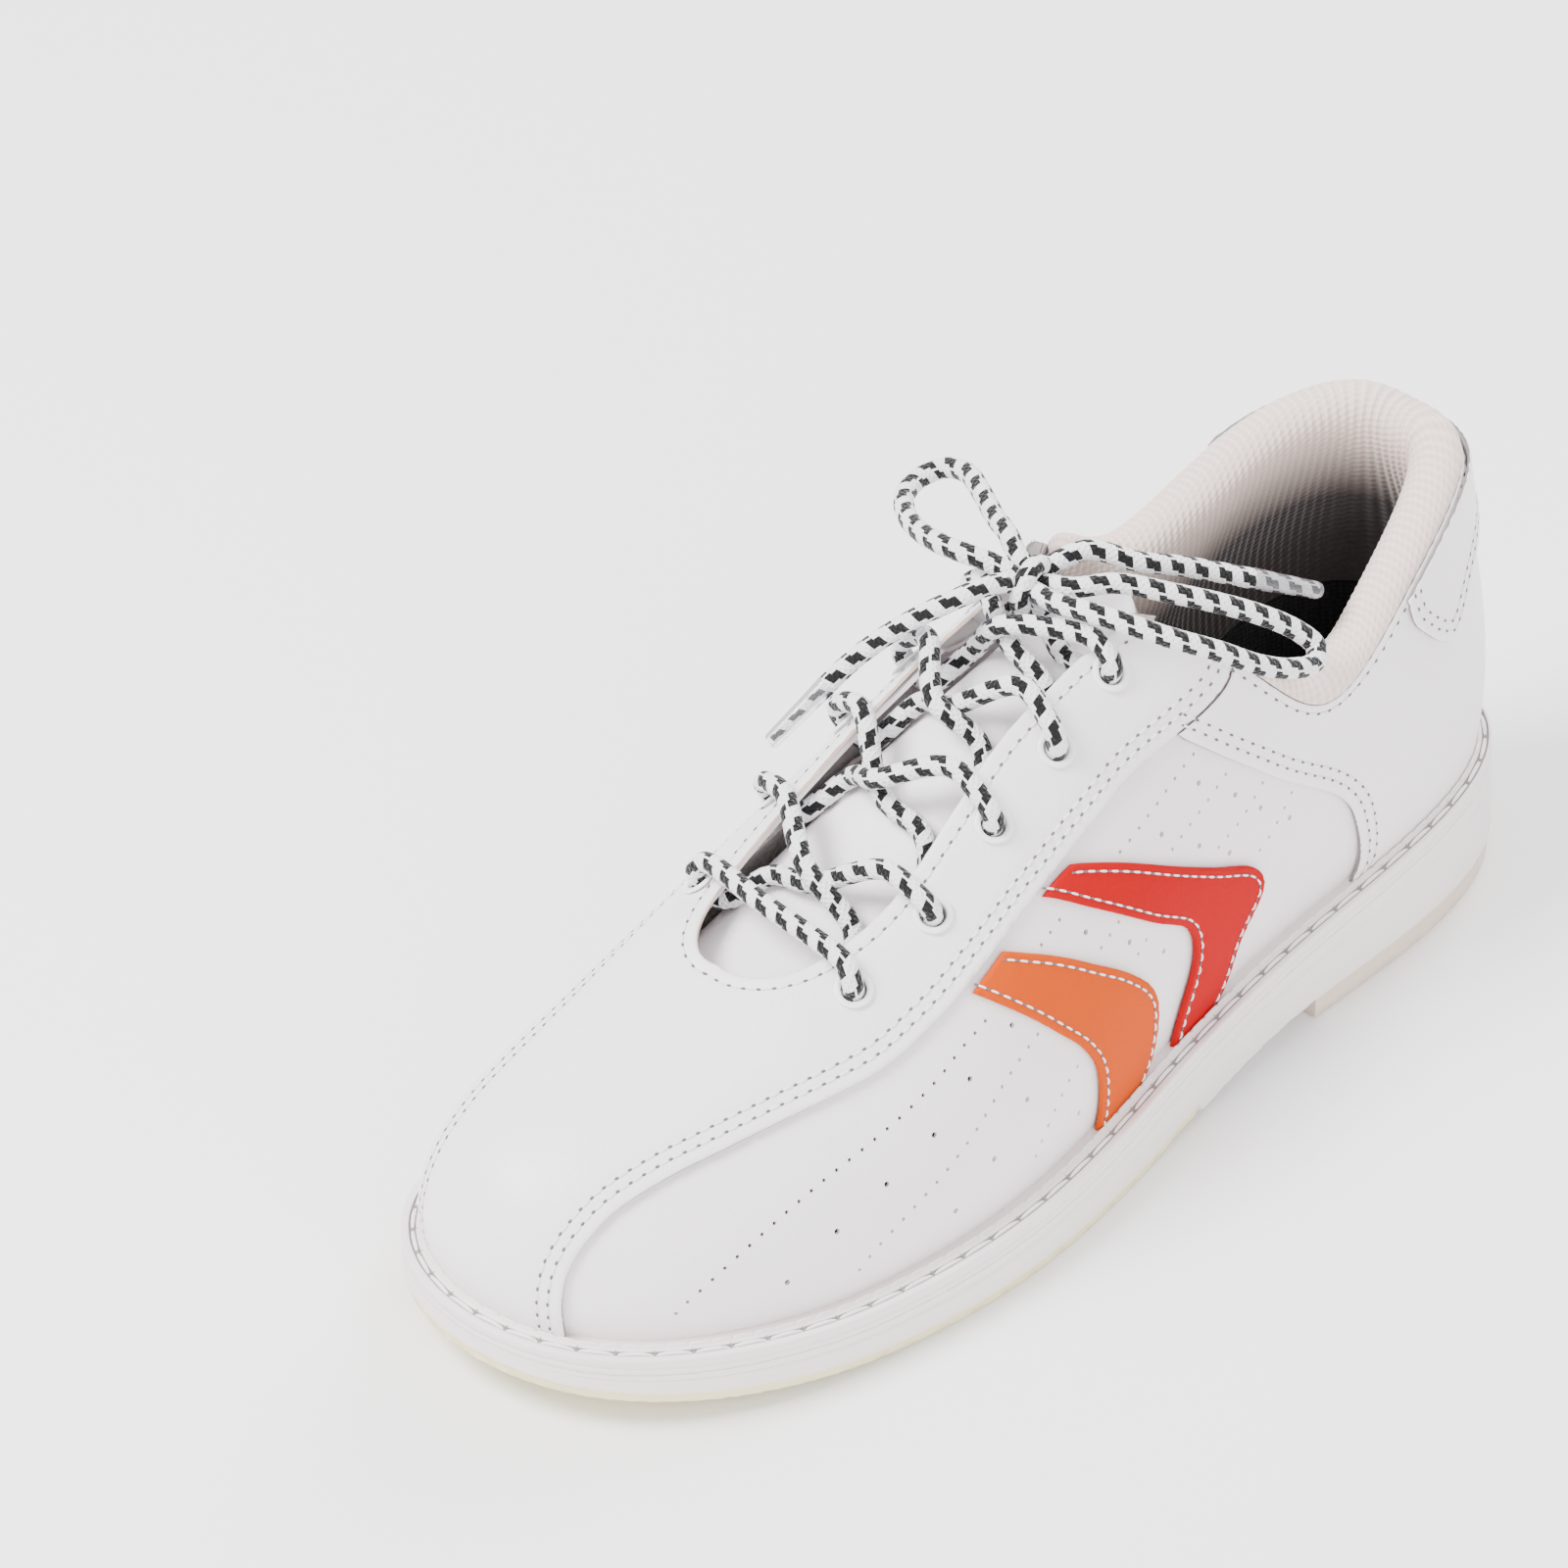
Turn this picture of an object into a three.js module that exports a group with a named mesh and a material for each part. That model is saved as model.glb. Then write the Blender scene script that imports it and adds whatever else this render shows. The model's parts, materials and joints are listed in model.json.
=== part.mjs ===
// Left bowling shoe, lace-up, with a stitched cup sole, exchangeable slide pad and heel pad.
// Frame: millimetres, +Z up, toe towards -Y, heel towards +Y, outer (lateral) side towards +X.
import * as THREE from 'three';
import { mergeVertices } from 'three/addons/utils/BufferGeometryUtils.js';

// ---------------------------------------------------------------- driving dimensions
const GAP = 0.3;              // clearance between touching pieces
const LACE_D = 4.7;           // round lace
const SHEET_TOP = 1.1;        // thickness of the overlay leather
const PAD_T = 2.6;            // slide pad thickness
const HEEL_PAD_T = 6.0;       // heel pad thickness
const HEEL_BREAST_Y = 66;     // front face of the heel pad
const PAD_END_Y = 23.2;       // rear edge of the slide pad
const WELT_H = 4.0;           // welt height
const BOARD_T = 1.9;          // insole board
const FOOTBED_T = 3.0;        // footbed, forefoot
const FOOTBED_HEEL_T = 5.0;   // footbed, heel
// layers of the upper, as offsets along the surface normal from the reference surface
const TOP = [0.3, 0.3 + SHEET_TOP], MID = [-1.6, -0.45], STIFF = [-3.1, -2.3], LIN = [-4.8, -3.85], TAB = [2.15, 3.0];

// sole outline, 20 stations around the shoe: 0 heel back, 1-9 outer side, 10 toe, 11-19 inner side
const SOLE = [[2.3,148],[26.5,136.8],[38,105.5],[40.7,65.6],[45.1,26.1],[52,-7.9],[55.7,-41.9],[52.9,-75],[44.4,-107],[22.5,-137.3],
  [-11,-146],[-38.5,-133],[-51,-107.5],[-54,-75],[-50,-42],[-41,-8],[-35,27],[-34.5,66],[-33.5,106],[-23,137]];
const ZTOP = [[-148,-110,-75,-30,20,70,110,148],[20.5,16.8,14.6,15.8,19.6,24.7,28.3,30]];   // top of the welt
const ZBOT = [[-148,-110,-75,-55,0,20,60,70],[10,4,0.6,0,0,1.8,6,6.3]];                      // underside, pads fitted
const INSET = [5,5,5.5,6,6.5,7,7,7,7,7,7,7,7,7,7,6.5,6,5.5,5,5];
// upper, per station: top point, lean at the feather line, lower handle, direction at the top (inward, up), upper handle
const UPPER = [
  [[1,141,104],10,30,[.15,.98],26], [[17,135,101],10,30,[.15,.98],26], [[29,104,89],9,28,[.25,.97],24], [[34,73,80],8,24,[.25,.97],22],
  [[21,50,102],10,32,[.70,.70],28], [[-5,15,108],14,36,[1,.10],30], [[-5,-25,87],14,32,[1,.05],34], [[-6,-58,71],14,24,[1,0],34],
  [[-8,-85,61],15,21,[1,0],30], [[-9,-104,56],17,19,[1,0],26], [[-9,-113,54],18,20,[1,.10],20], [[-9,-104,56],18,22,[1,0],26],
  [[-8,-85,61],15,26,[1,0],28], [[-6,-58,71],12,28,[1,0],29], [[-5,-25,87],10,33,[1,.05],31], [[-5,15,108],9,37,[1,.10],31],
  [[-27,50,104],6,33,[.50,.86],27], [[-31,74,87],4,27,[.25,.97],20], [[-26,106,100],6,29,[.22,.97],25], [[-15,133,106],8,31,[.15,.98],26]];
// eyelets as (station, height) on the outer side; the inner side mirrors them
const EYELETS = [[6.66,.722],[6.0,.70],[5.44,.692],[4.92,.72],[4.50,.862]];
const EYELETS_IN = [[6.56,.722],[5.82,.67],[5.31,.682],[4.88,.735],[4.48,.868]];
const BORE_R = 2.8, BARREL_R = 3.3, HOLE_R = 3.7, FLANGE_R = 4.3;

// ---------------------------------------------------------------- small maths
const N = 20;
function pspline(P) {
  const n = P.length, k = P[0].length, A = [], R = [];
  for (let i = 0; i < n; i++) {
    A.push(new Array(n).fill(0)); A[i][i] = 4; A[i][(i + 1) % n] += 1; A[i][(i + n - 1) % n] += 1;
    R.push(P[i].map((_, c) => 3 * (P[(i + 1) % n][c] - P[(i + n - 1) % n][c])));
  }
  for (let i = 0; i < n; i++) {
    const d = A[i][i];
    for (let c = 0; c < n; c++) A[i][c] /= d;
    for (let c = 0; c < k; c++) R[i][c] /= d;
    for (let j = 0; j < n; j++) if (j !== i && A[j][i] !== 0) {
      const m = A[j][i];
      for (let c = 0; c < n; c++) A[j][c] -= m * A[i][c];
      for (let c = 0; c < k; c++) R[j][c] -= m * R[i][c];
    }
  }
  return u => {
    u = ((u % n) + n) % n;
    const i = Math.floor(u) % n, t = u - Math.floor(u), j = (i + 1) % n, a = 2*t**3 - 3*t**2 + 1, b = t**3 - 2*t**2 + t, c = -2*t**3 + 3*t**2, d = t**3 - t**2;
    return P[i].map((_, q) => a * P[i][q] + b * R[i][q] + c * P[j][q] + d * R[j][q]);
  };
}
function table([xs, ys]) {
  const n = xs.length, d = [], m = [];
  for (let i = 0; i < n - 1; i++) d.push((ys[i + 1] - ys[i]) / (xs[i + 1] - xs[i]));
  m[0] = d[0]; m[n - 1] = d[n - 2];
  for (let i = 1; i < n - 1; i++) m[i] = d[i - 1] * d[i] <= 0 ? 0 : 2 * d[i - 1] * d[i] / (d[i - 1] + d[i]);
  return x => {
    x = Math.min(Math.max(x, xs[0]), xs[n - 1]);
    let i = 0; while (i < n - 2 && x > xs[i + 1]) i++;
    const h = xs[i + 1] - xs[i], t = (x - xs[i]) / h;
    return (2*t**3 - 3*t**2 + 1) * ys[i] + (t**3 - 2*t**2 + t) * h * m[i] + (-2*t**3 + 3*t**2) * ys[i + 1] + (t**3 - t**2) * h * m[i + 1];
  };
}
const V = (x, y, z) => new THREE.Vector3(x, y, z);
const zt = table(ZTOP), zb = table(ZBOT), fSole = pspline(SOLE), fIns = pspline(INSET.map(v => [v]));
const fP1 = pspline(UPPER.map(r => r[0])), fQ = pspline(UPPER.map(r => [r[1], r[2], r[3][0], r[3][1], r[4]]));
function outl(u, inset = 0) {
  const e = 1e-3, p = fSole(u), a = fSole(u + e), b = fSole(u - e);
  let dx = a[0] - b[0], dy = a[1] - b[1]; const l = Math.hypot(dx, dy); dx /= l; dy /= l;
  return { x: p[0] + dy * inset, y: p[1] - dx * inset, nx: -dy, ny: dx };
}
const ins = u => fIns(u)[0];
function frameAt(u) {
  const o = outl(u, ins(u)), q = fQ(u), P1 = fP1(u), P0 = V(o.x, o.y, zt(o.y) - 1), T = V(...P1), l = q[0] * Math.PI / 180;
  const D0 = V(o.nx * Math.sin(l), o.ny * Math.sin(l), Math.cos(l)), h = V(T.x - P0.x, T.y - P0.y, 0).normalize();
  const D1 = V(h.x * q[2], h.y * q[2], q[3]).normalize();
  return { P0, T, D0, D1, h, a: q[1], b: q[4] };
}
function Sraw(u, t) {
  const f = frameAt(u), A = f.P0.clone().addScaledVector(f.D0, f.a), B = f.T.clone().addScaledVector(f.D1, -f.b), s = 1 - t;
  return V(0, 0, 0).addScaledVector(f.P0, s**3).addScaledVector(A, 3*s*s*t).addScaledVector(B, 3*s*t*t).addScaledVector(f.T, t**3);
}
function Snorm(u, t) {
  const e = 4e-3, t0 = Math.max(0, t - e), t1 = Math.min(1, t + e);
  const du = Sraw(u + e, t).sub(Sraw(u - e, t)), dt = Sraw(u, t1).sub(Sraw(u, t0));
  return du.cross(dt).normalize().negate();
}
// reference surface with the crest line shared by both sides
const crest = (u, t) => t > 0.9999 && ((u > 4.9 && u < 15.1));
function S(u, t) { return crest(u, t) ? Sraw(u, t).add(Sraw(N - u, t)).multiplyScalar(0.5) : Sraw(u, t); }
function Nn(u, t) { const q = Math.abs(u - 10) < 0.4 ? 0.94 : 0.985; return crest(u, t) ? Snorm(u, q).add(Snorm(N - u, q)).normalize() : Snorm(u, Math.min(t, 0.985)); }
const off = (u, t, w) => S(u, t).addScaledVector(Nn(u, t), w);

// ---------------------------------------------------------------- outlines
function smooth(pts, n = 6) {          // centripetal curve through points, open
  if (pts.length < 3) return pts;
  const c = new THREE.CatmullRomCurve3(pts.map(p => V(p[0] * 24, p[1] * 80, 0)), false, 'centripetal');
  return c.getPoints((pts.length - 1) * n).map(p => [p.x / 24, p.y / 80]);
}
function resample(pts, sx, sy, h) {    // even steps of about h along an open line, ends kept
  const d = [0]; for (let i = 1; i < pts.length; i++) d.push(d[i - 1] + Math.hypot((pts[i][0] - pts[i - 1][0]) * sx, (pts[i][1] - pts[i - 1][1]) * sy));
  const L = d[d.length - 1], m = Math.max(1, Math.round(L / h)), out = [];
  for (let k = 0, i = 0; k <= m; k++) {
    const s = L * k / m; while (i < d.length - 2 && d[i + 1] < s) i++;
    const f = (s - d[i]) / Math.max(1e-9, d[i + 1] - d[i]);
    out.push([pts[i][0] + (pts[i + 1][0] - pts[i][0]) * f, pts[i][1] + (pts[i + 1][1] - pts[i][1]) * f]);
  }
  return out;
}
function chain(list, sx, sy, h) {      // closed ring from open lines, each kept with its own ends
  const ring = [];
  list.forEach((seg, i) => {
    const r = resample(seg, sx, sy, h); const prev = ring[ring.length - 1];
    const near = prev && Math.hypot((prev[0] - r[0][0]) * sx, (prev[1] - r[0][1]) * sy) < 1.0;
    r.forEach((p, k) => { if (!(k === 0 && near)) ring.push(p); });
  });
  const a = ring[0], b = ring[ring.length - 1];
  if (Math.hypot((a[0] - b[0]) * sx, (a[1] - b[1]) * sy) < 1.0) ring.pop();
  return ring;
}
function inside(p, ring) {
  let r = false;
  for (let i = 0, j = ring.length - 1; i < ring.length; j = i++) {
    const a = ring[i], b = ring[j];
    if ((a[1] > p[1]) !== (b[1] > p[1]) && p[0] < (b[0] - a[0]) * (p[1] - a[1]) / (b[1] - a[1]) + a[0]) r = !r;
  }
  return r;
}
function segDist(p, a, b) {
  const vx = b[0] - a[0], vy = b[1] - a[1], t = Math.max(0, Math.min(1, ((p[0] - a[0]) * vx + (p[1] - a[1]) * vy) / (vx * vx + vy * vy + 1e-12)));
  return Math.hypot(p[0] - a[0] - vx * t, p[1] - a[1] - vy * t);
}
// Delaunay triangles of points (incremental), then those inside the ring and outside its holes
function mesh2d(ring, holes, h, sx, sy, extra = []) {
  const sc = r => r.map(p => [p[0] * sx, p[1] * sy]);
  const R = sc(ring), H = holes.map(sc), P = [...R, ...H.flat()], nb = P.length;
  const loops = [R, ...H];
  const xs = R.map(p => p[0]), ys = R.map(p => p[1]);
  const ok = (p, k) => inside(p, R) && !H.some(q => inside(p, q)) && loops.every(L => L.every((a, i) => segDist(p, a, L[(i + 1) % L.length]) > k * h));
  for (const e of extra) { const p = [e[0] * sx, e[1] * sy]; if (inside(p, R)) P.push(p); }
  const ne = P.length;
  let row = 0;
  for (let y = Math.min(...ys) + h * 0.43; y < Math.max(...ys); y += h * 0.87, row++)
    for (let x = Math.min(...xs) + (row % 2 ? h * 0.5 : 0.07 * h); x < Math.max(...xs); x += h) {
      const p = [x + 0.04 * h * Math.sin(7.1 * x + 3.3 * y), y + 0.04 * h * Math.cos(5.3 * x - 2.7 * y)];
      if (ok(p, 0.62) && P.slice(nb, ne).every(q => Math.hypot(q[0] - p[0], q[1] - p[1]) > 0.6 * h)) P.push(p);
    }
  const J = P.map((p, i) => [p[0] + 1e-5 * Math.sin(i * 12.9), p[1] + 1e-5 * Math.cos(i * 78.2)]);
  const n = J.length, B = 1e5; J.push([-B, -B], [B, -B], [0, B]);
  const cc = (a, b, c) => {
    const [ax, ay] = J[a], [bx, by] = J[b], [cx, cy] = J[c], d = 2 * (ax * (by - cy) + bx * (cy - ay) + cx * (ay - by));
    const x = ((ax*ax + ay*ay) * (by - cy) + (bx*bx + by*by) * (cy - ay) + (cx*cx + cy*cy) * (ay - by)) / d;
    const y = ((ax*ax + ay*ay) * (cx - bx) + (bx*bx + by*by) * (ax - cx) + (cx*cx + cy*cy) * (bx - ax)) / d;
    return { t: [a, b, c], x, y, r: (ax - x) ** 2 + (ay - y) ** 2 };
  };
  let T = [cc(n, n + 1, n + 2)];
  for (let i = 0; i < n; i++) {
    const bad = [], keep = []; for (const q of T) ((J[i][0] - q.x) ** 2 + (J[i][1] - q.y) ** 2 < q.r ? bad : keep).push(q);
    const E = new Map();
    for (const { t } of bad) for (let k = 0; k < 3; k++) {
      const a = t[k], b = t[(k + 1) % 3], key = a < b ? a + '_' + b : b + '_' + a;
      E.has(key) ? E.set(key, null) : E.set(key, [a, b]);
    }
    for (const e of E.values()) if (e) keep.push(cc(e[0], e[1], i));
    T = keep;
  }
  const tris = [];
  for (const { t } of T) {
    if (t.some(v => v >= n)) continue;
    const g = [(P[t[0]][0] + P[t[1]][0] + P[t[2]][0]) / 3, (P[t[0]][1] + P[t[1]][1] + P[t[2]][1]) / 3];
    if (!inside(g, R) || H.some(q => inside(g, q))) continue;
    const ar = (P[t[1]][0] - P[t[0]][0]) * (P[t[2]][1] - P[t[0]][1]) - (P[t[2]][0] - P[t[0]][0]) * (P[t[1]][1] - P[t[0]][1]);
    tris.push(ar > 0 ? t : [t[0], t[2], t[1]]);
  }
  const es = new Set(); tris.forEach(t => { for (let k = 0; k < 3; k++) es.add(t[k] + '_' + t[(k + 1) % 3]); });
  let base = 0;
  for (const L of loops) { for (let i = 0; i < L.length; i++) { const a = base + i, b = base + (i + 1) % L.length;
    if (!es.has(a + '_' + b) && !es.has(b + '_' + a)) throw new Error('outline edge lost near ' + P[a].map((v, q) => (v / [sx, sy][q]).toFixed(3)) + ' and ' + P[b].map((v, q) => (v / [sx, sy][q]).toFixed(3))); } base += L.length; }
  return { pts: P.map(p => [p[0] / sx, p[1] / sy]), tris };
}
// closed body from top and bottom copies of one triangulation
function shell(vt, vb, tris) {
  const n = vt.length, pos = [...vt, ...vb].flatMap(v => [v.x, v.y, v.z]), idx = [];
  const cnt = new Map();
  for (const [a, b, c] of tris) {
    idx.push(a, b, c, n + a, n + c, n + b);
    for (const [p, q] of [[a, b], [b, c], [c, a]]) cnt.set(p + '_' + q, [p, q]);
  }
  for (const [k, [p, q]] of cnt) if (!cnt.has(q + '_' + p)) idx.push(p, n + p, n + q, p, n + q, q);
  return closed(pos, idx);
}
function closed(pos, idx) {
  let v = 0;
  for (let i = 0; i < idx.length; i += 3) {
    const [a, b, c] = [idx[i], idx[i + 1], idx[i + 2]].map(k => V(pos[3*k], pos[3*k + 1], pos[3*k + 2]));
    v += a.dot(b.cross(c));
  }
  if (v < 0) for (let i = 0; i < idx.length; i += 3) [idx[i + 1], idx[i + 2]] = [idx[i + 2], idx[i + 1]];
  const g = new THREE.BufferGeometry();
  g.setAttribute('position', new THREE.Float32BufferAttribute(pos, 3)); g.setIndex(idx);
  g.computeVertexNormals();
  return g;
}
const SX = 24, SY = 80;
// a sheet piece on the reference surface; mirror adds the other side, welded along the toe and the crest
function panel(segs, [w0, w1], { h = 9, holes = [], mirror = false, side = 1 } = {}) {
  const m = mesh2d(chain(segs, SX, SY, h), holes, h, SX, SY), key = new Map(), vt = [], vb = [], tris = [];
  const put = (u, t) => {
    u = side < 0 ? N - u : u;
    if (t > 0.9999 && u > 10 && mirror) u = N - u;
    const k = u.toFixed(4) + ',' + t.toFixed(4);
    if (!key.has(k)) { key.set(k, vt.length); const p = S(u, t), q = Nn(u, t); vt.push(p.clone().addScaledVector(q, w1)); vb.push(p.clone().addScaledVector(q, w0)); }
    return key.get(k);
  };
  for (const t of m.tris) {
    tris.push(t.map(i => put(m.pts[i][0], m.pts[i][1])));
    if (mirror) tris.push([t[0], t[2], t[1]].map(i => put(N - m.pts[i][0], m.pts[i][1])));
  }
  return shell(vt, vb, tris.filter(t => t[0] !== t[1] && t[1] !== t[2] && t[0] !== t[2]));
}
const circle = (c, r, n = 10) => Array.from({ length: n }, (_, i) => {   // round hole in (station, height) terms
  const a = 2 * Math.PI * i / n, e = 0.01;
  const du = S(c[0] + e, c[1]).sub(S(c[0] - e, c[1])).multiplyScalar(1 / (2 * e)), dt = S(c[0], c[1] + e).sub(S(c[0], c[1] - e)).multiplyScalar(1 / (2 * e));
  const x = r * Math.cos(a), y = r * Math.sin(a), ex = du.clone().normalize(), ey = Nn(c[0], c[1]).cross(ex).normalize();
  const A = du.dot(ex), B = dt.dot(ex), C = du.dot(ey), D = dt.dot(ey), det = A * D - B * C;
  return [c[0] + (x * D - y * B) / det, c[1] + (y * A - x * C) / det];
});
// plate between two height functions of y
function slab(ring, top, bot, h, lines = []) {
  let R = ring;
  const extra = [];
  for (const y0 of lines) {
    const out = []; const xs = [];
    for (let i = 0; i < R.length; i++) {
      const a = R[i], b = R[(i + 1) % R.length]; out.push(a);
      if ((a[1] - y0) * (b[1] - y0) < 0) { const f = (y0 - a[1]) / (b[1] - a[1]); out.push([a[0] + f * (b[0] - a[0]), y0]); xs.push(a[0] + f * (b[0] - a[0])); }
    }
    R = out; const x0 = Math.min(...xs), x1 = Math.max(...xs), n = Math.round((x1 - x0) / (h * 0.7));
    for (let k = 1; k < n; k++) extra.push([x0 + (x1 - x0) * k / n, y0]);
  }
  if (lines.length) R = R.filter(p => lines.some(y => p[1] === y) || lines.every(y => Math.abs(p[1] - y) > 1.5));
  const m = mesh2d(R, [], h, 1, 1, extra);
  return shell(m.pts.map(p => V(p[0], p[1], top(p[0], p[1]))), m.pts.map(p => V(p[0], p[1], bot(p[0], p[1]))), m.tris);
}
function outlineRing(inset, h, y0 = -1e9, y1 = 1e9) {
  let pts = []; for (let i = 0; i < 800; i++) { const u = N * i / 800, o = outl(u, typeof inset === 'function' ? inset(u) : inset); pts.push([o.x, o.y]); }
  const cut = (P, f) => { const out = []; for (let i = 0; i < P.length; i++) { const a = P[i], b = P[(i + 1) % P.length], fa = f(a), fb = f(b);
    if (fa >= 0) out.push(a); if (fa * fb < 0) { const k = fa / (fa - fb); out.push([a[0] + k * (b[0] - a[0]), a[1] + k * (b[1] - a[1])]); } } return out; };
  pts = cut(cut(pts, p => p[1] - y0), p => y1 - p[1]);
  // corners stay: split where a straight cut begins or ends
  const flat = p => Math.abs(p[1] - y0) < 1e-6 || Math.abs(p[1] - y1) < 1e-6, segs = []; let cur = [];
  const start = Math.max(0, pts.findIndex(flat)); pts = [...pts.slice(start), ...pts.slice(0, start)];
  for (let i = 0; i <= pts.length; i++) { const p = pts[i % pts.length]; cur.push(p); if (cur.length > 1 && flat(p)) { segs.push(cur); cur = [p]; } }
  if (cur.length > 1) segs.push(cur);
  return chain(segs, 1, 1, h);
}
// closed ring swept along the sole edge; section points are (inset, height above the welt top)
function ringSweep(sec, M) {
  const n = sec(0).length, pos = [], idx = [];
  for (let i = 0; i < M; i++) { const u = N * i / M; for (const [d, z] of sec(u)) { const o = outl(u, d); pos.push(o.x, o.y, zt(o.y) + z); } }
  for (let i = 0; i < M; i++) for (let j = 0; j < n; j++) {
    const a = i * n + j, b = i * n + (j + 1) % n, c = ((i + 1) % M) * n + (j + 1) % n, d = ((i + 1) % M) * n + j;
    idx.push(a, b, c, a, c, d);
  }
  return closed(pos, idx);
}
// open sweep along stations, capped; section points are (inward w, height h) at the top line
function collarPoint(u, w, h) {
  const f = frameAt(u), n = Snorm(u, 0.985);
  if (h >= 0) return f.T.clone().addScaledVector(f.D1, h).addScaledVector(n, -w);
  // walk down the wall
  let len = 0, t = 1, p = Sraw(u, 1); while (t > 0.02) { const q = Sraw(u, t - 0.02); const d = q.distanceTo(p); if (len + d > -h) { t -= 0.02 * (-h - len) / d; break; } len += d; t -= 0.02; p = q; }
  return Sraw(u, t).addScaledVector(Snorm(u, t), -w);
}
function sweepU(sec, us) {
  const n = sec(us[0]).length, pos = [], idx = [], m = us.length;
  us.forEach(u => sec(u).forEach(([w, h]) => { const p = collarPoint(u, w, h); pos.push(p.x, p.y, p.z); }));
  for (let i = 0; i < m - 1; i++) for (let j = 0; j < n; j++) {
    const a = i * n + j, b = i * n + (j + 1) % n, c = (i + 1) * n + (j + 1) % n, d = (i + 1) * n + j; idx.push(a, b, c, a, c, d);
  }
  const s0 = sec(us[0]).map(p => new THREE.Vector2(...p)), s1 = sec(us[m - 1]).map(p => new THREE.Vector2(...p));
  const cap = (s, base, flip) => { const cw = THREE.ShapeUtils.isClockWise(s); for (const f of THREE.ShapeUtils.triangulateShape(s, [])) { const t = (cw !== flip) ? f : [f[0], f[2], f[1]]; idx.push(...t.map(k => base + k)); } };
  // the side walls run a,b,c with the section order; the caps close them with the opposite sense
  cap(s0, 0, false); cap(s1, (m - 1) * n, true);
  return closed(pos, idx);
}

// ---------------------------------------------------------------- assembly
const shoe = new THREE.Group();
shoe.name = 'bowling_shoe';
function add(name, geometry, color, roughness = 0.6, metalness = 0) {
  let g = geometry.clone(); g.deleteAttribute('normal'); if (g.attributes.uv) g.deleteAttribute('uv');
  g = mergeVertices(g, 1e-4); g.computeVertexNormals();
  const m = new THREE.Mesh(g, new THREE.MeshStandardMaterial({ color, roughness, metalness })); m.name = name; shoe.add(m); return m;
}
const LEATHER = 0xefe9eb, SOLEC = 0xe8dedd, RED = 0xfa4648, ORANGE = 0xff7a32, MESH = 0xe9ddd9, DARK = 0x1b1a1d, CARD = 0xc9ac86;

// sole unit
const H2 = 16;
add('outsole', slab(outlineRing(0, H2), (x, y) => zt(y) - WELT_H - GAP, (x, y) => y < PAD_END_Y + 0.4 ? zb(y) + PAD_T + GAP : Math.max(zb(y), y >= HEEL_BREAST_Y - 0.7 ? HEEL_PAD_T + GAP : 0), H2, [PAD_END_Y + 0.3, PAD_END_Y + 0.7]), SOLEC, 0.65);
add('slide_pad', slab(outlineRing(0.6, H2, -1e9, PAD_END_Y), (x, y) => zb(y) + PAD_T, (x, y) => zb(y), H2), 0xf2e7bd, 0.8);
add('heel_pad', slab(outlineRing(0.8, H2, HEEL_BREAST_Y, 1e9), () => HEEL_PAD_T, () => 0, H2), 0xd9c3ae, 0.7);
add('welt', ringSweep(u => { const i = ins(u); return [[0, -WELT_H], [0, -0.3], [0.3, 0], [2.0, 0], [2.6, -0.7], [3.2, 0], [i - 3.0, 0.1], [i - 2.5, 0.6], [i - 2.15, 0.5], [i - 2.1, -1.9], [i + 7, -1.9], [i + 7, -WELT_H]]; }, 48), SOLEC, 0.6);
const shankBox = { x0: -10, x1: 4, y0: -22, y1: 84 };
const fillRing = outlineRing(u => ins(u) + 7.7, H2), shankHole = chain([[[shankBox.x0, shankBox.y0], [shankBox.x1, shankBox.y0]], [[shankBox.x1, shankBox.y0], [shankBox.x1, shankBox.y1]], [[shankBox.x1, shankBox.y1], [shankBox.x0, shankBox.y1]], [[shankBox.x0, shankBox.y1], [shankBox.x0, shankBox.y0]]], 1, 1, 12);
{
  const m = mesh2d(fillRing, [shankHole], H2, 1, 1);
  add('midsole_filler', shell(m.pts.map(p => V(p[0], p[1], zt(p[1]) - 1.9)), m.pts.map(p => V(p[0], p[1], zt(p[1]) - WELT_H)), m.tris), 0xb98f63, 0.9);
}
{
  const r = chain([[[shankBox.x0 + .4, shankBox.y0 + .4], [shankBox.x1 - .4, shankBox.y0 + .4]], [[shankBox.x1 - .4, shankBox.y0 + .4], [shankBox.x1 - .4, shankBox.y1 - .4]], [[shankBox.x1 - .4, shankBox.y1 - .4], [shankBox.x0 + .4, shankBox.y1 - .4]], [[shankBox.x0 + .4, shankBox.y1 - .4], [shankBox.x0 + .4, shankBox.y0 + .4]]], 1, 1, 12);
  add('shank', slab(r, (x, y) => zt(y) - 2.3, (x, y) => zt(y) - 3.6, 12), 0x9a9ca0, 0.4, 1);
}
add('insole_board', slab(outlineRing(u => ins(u) + 4.8, H2), (x, y) => zt(y) - 1.5 + BOARD_T, (x, y) => zt(y) - 1.5, H2), CARD, 0.9);
const ftop = table([[-148, 0, 60, 148], [FOOTBED_T, FOOTBED_T, FOOTBED_HEEL_T, FOOTBED_HEEL_T]]);
add('footbed', slab(outlineRing(u => ins(u) + 5.6, H2), (x, y) => zt(y) + 0.7 + ftop(y), (x, y) => zt(y) + 0.7, H2), DARK, 0.95);

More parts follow.
